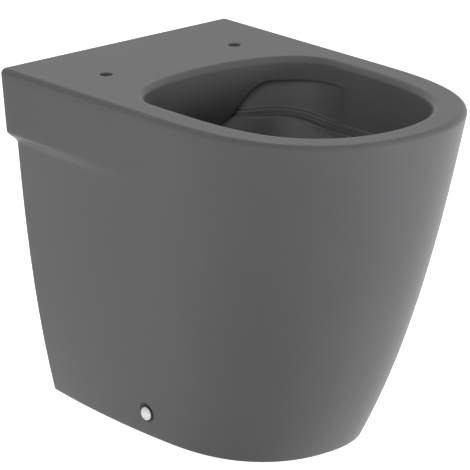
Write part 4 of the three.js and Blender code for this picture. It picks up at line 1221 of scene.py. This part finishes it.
def make_outlet_collar():
    bore, lip = OUTLET_RADIUS + CLEAR, COLLAR_LONG + SEAL_WALL
    corners = [(bore, 0, 0.6)]
    corners += fins(bore + SEAL_WALL, SEAL_FIN, SEAL_MARGIN, COLLAR_LONG - SEAL_MARGIN)
    corners += [(bore + SEAL_WALL, lip, 1.0), (bore - SEAL_LIP, lip, 0.8),
                (bore - SEAL_LIP, COLLAR_LONG + CLEAR, 0.5), (bore, COLLAR_LONG + CLEAR, 0.3)]
    bm = turned(corners, 112, ease=3)
    to_wall(bm, OUTLET_END - COLLAR_LONG, OUTLET_HEIGHT)
    return as_object(bm, "outlet_collar")


def make_inlet_cone():
    outer, long = SOCKET_RADIUS - CLEAR, SOCKET_DEPTH - END_GAP
    inside = fins(outer - SEAL_WALL, -SEAL_FIN, SEAL_MARGIN, long)
    corners = [(outer - SEAL_WALL, 0, 0.4), (outer, 0, 0.6), (outer, long + CLEAR, 0.2),
               (outer + SEAL_LIP, long + CLEAR, 0.5), (outer + SEAL_LIP, long + CONE_FLANGE, 1.2),
               (outer - SEAL_WALL, long + CONE_FLANGE, 1.0)]
    bm = turned(corners + inside[::-1], 96, ease=3)
    to_wall(bm, INLET_END - long, INLET_HEIGHT)
    return as_object(bm, "inlet_cone")


fit(make_outlet_collar(), "outlet_seal", "pan", RUBBER)
fit(make_inlet_cone(), "flush_inlet_seal", "pan", RUBBER)

# %% [markdown]
# ## Camera
#
# A long lens from a little above the seat, turned to the left front.

# %% Camera
def aim(thing, azimuth, elevation, distance, target):
    """Adds a camera or lamp at a distance from target, in a direction, turned to face it."""
    a, e = math.radians(azimuth), math.radians(elevation)
    away = Vector((math.sin(a) * math.cos(e), -math.cos(a) * math.cos(e), math.sin(e)))
    rig = bpy.data.objects.new(thing.name, thing)
    rig.location = target + away * distance
    rig.rotation_euler = (-away).to_track_quat("-Z", "Y").to_euler()
    SCENE.collection.objects.link(rig)
    return rig


camera = aim(bpy.data.cameras.new("camera"), -41.22, 17.80, 4.951, Vector((-0.0398, 0.0, 0.2480)))
camera.data.lens, camera.data.sensor_width = 325.06, 36.0
camera.data.clip_end = 50.0
SCENE.camera = camera


# %% [markdown]
# ## Light
#
# Soft studio light: one lamp at each front side, a weak one behind and a white room. The lamps
# light the pan but are kept out of its reflections, which show only the room and the floor. The
# floor is white to the camera and in reflections, and a quiet grey to light that bounces off it.

# %% Lamps and room
LAMP_AWAY, LAMP_AIM = 2.6, Vector((0, 0, 0.25))
ROOM_LEVEL, FLOOR_BOUNCE, FLOOR_PALE, FLOOR_GLOW = 0.12, 0.36, 0.8, 0.85


def lamp(name, azimuth, elevation, size, watts):
    light = bpy.data.lights.new(name, "AREA")
    light.shape, light.size, light.size_y, light.energy = "RECTANGLE", *size, watts
    aim(light, azimuth, elevation, LAMP_AWAY, LAMP_AIM).visible_glossy = False


lamp("left_softbox", -70, 26, (1.6, 1.6), 50)
lamp("right_softbox", 30, 7, (1.6, 0.8), 80)
lamp("back_softbox", 180, 14, (1.6, 1.2), 26)


def make_room():
    SCENE.world = bpy.data.worlds.new("room")
    SCENE.world.use_nodes = True
    room = Network(SCENE.world.node_tree)
    room.feed(room.tree.nodes["Background"].inputs["Color"],
              room.blend(room.seen(), grey(ROOM_LEVEL), grey(1.0)))


make_room()


def make_floor():
    bm = bmesh.new()
    bmesh.ops.create_circle(bm, cap_ends=True, segments=64, radius=6.0)
    move(bm, 0, 0, -0.0005)
    mesh = bpy.data.meshes.new("floor")
    bm.to_mesh(mesh)
    bm.free()
    floor = bpy.data.objects.new("floor", mesh)
    SCENE.collection.objects.link(floor)
    finish = Finish("pale_floor", Roughness=0.9)
    seen = finish.seen()
    finish.set("Base Color", finish.blend(seen, grey(FLOOR_BOUNCE), grey(FLOOR_PALE)))
    finish.set("Emission Color", finish.blend(seen, grey(0.0), grey(1.0)))
    finish.set("Emission Strength", FLOOR_GLOW)
    mesh.materials.append(finish.material)


make_floor()
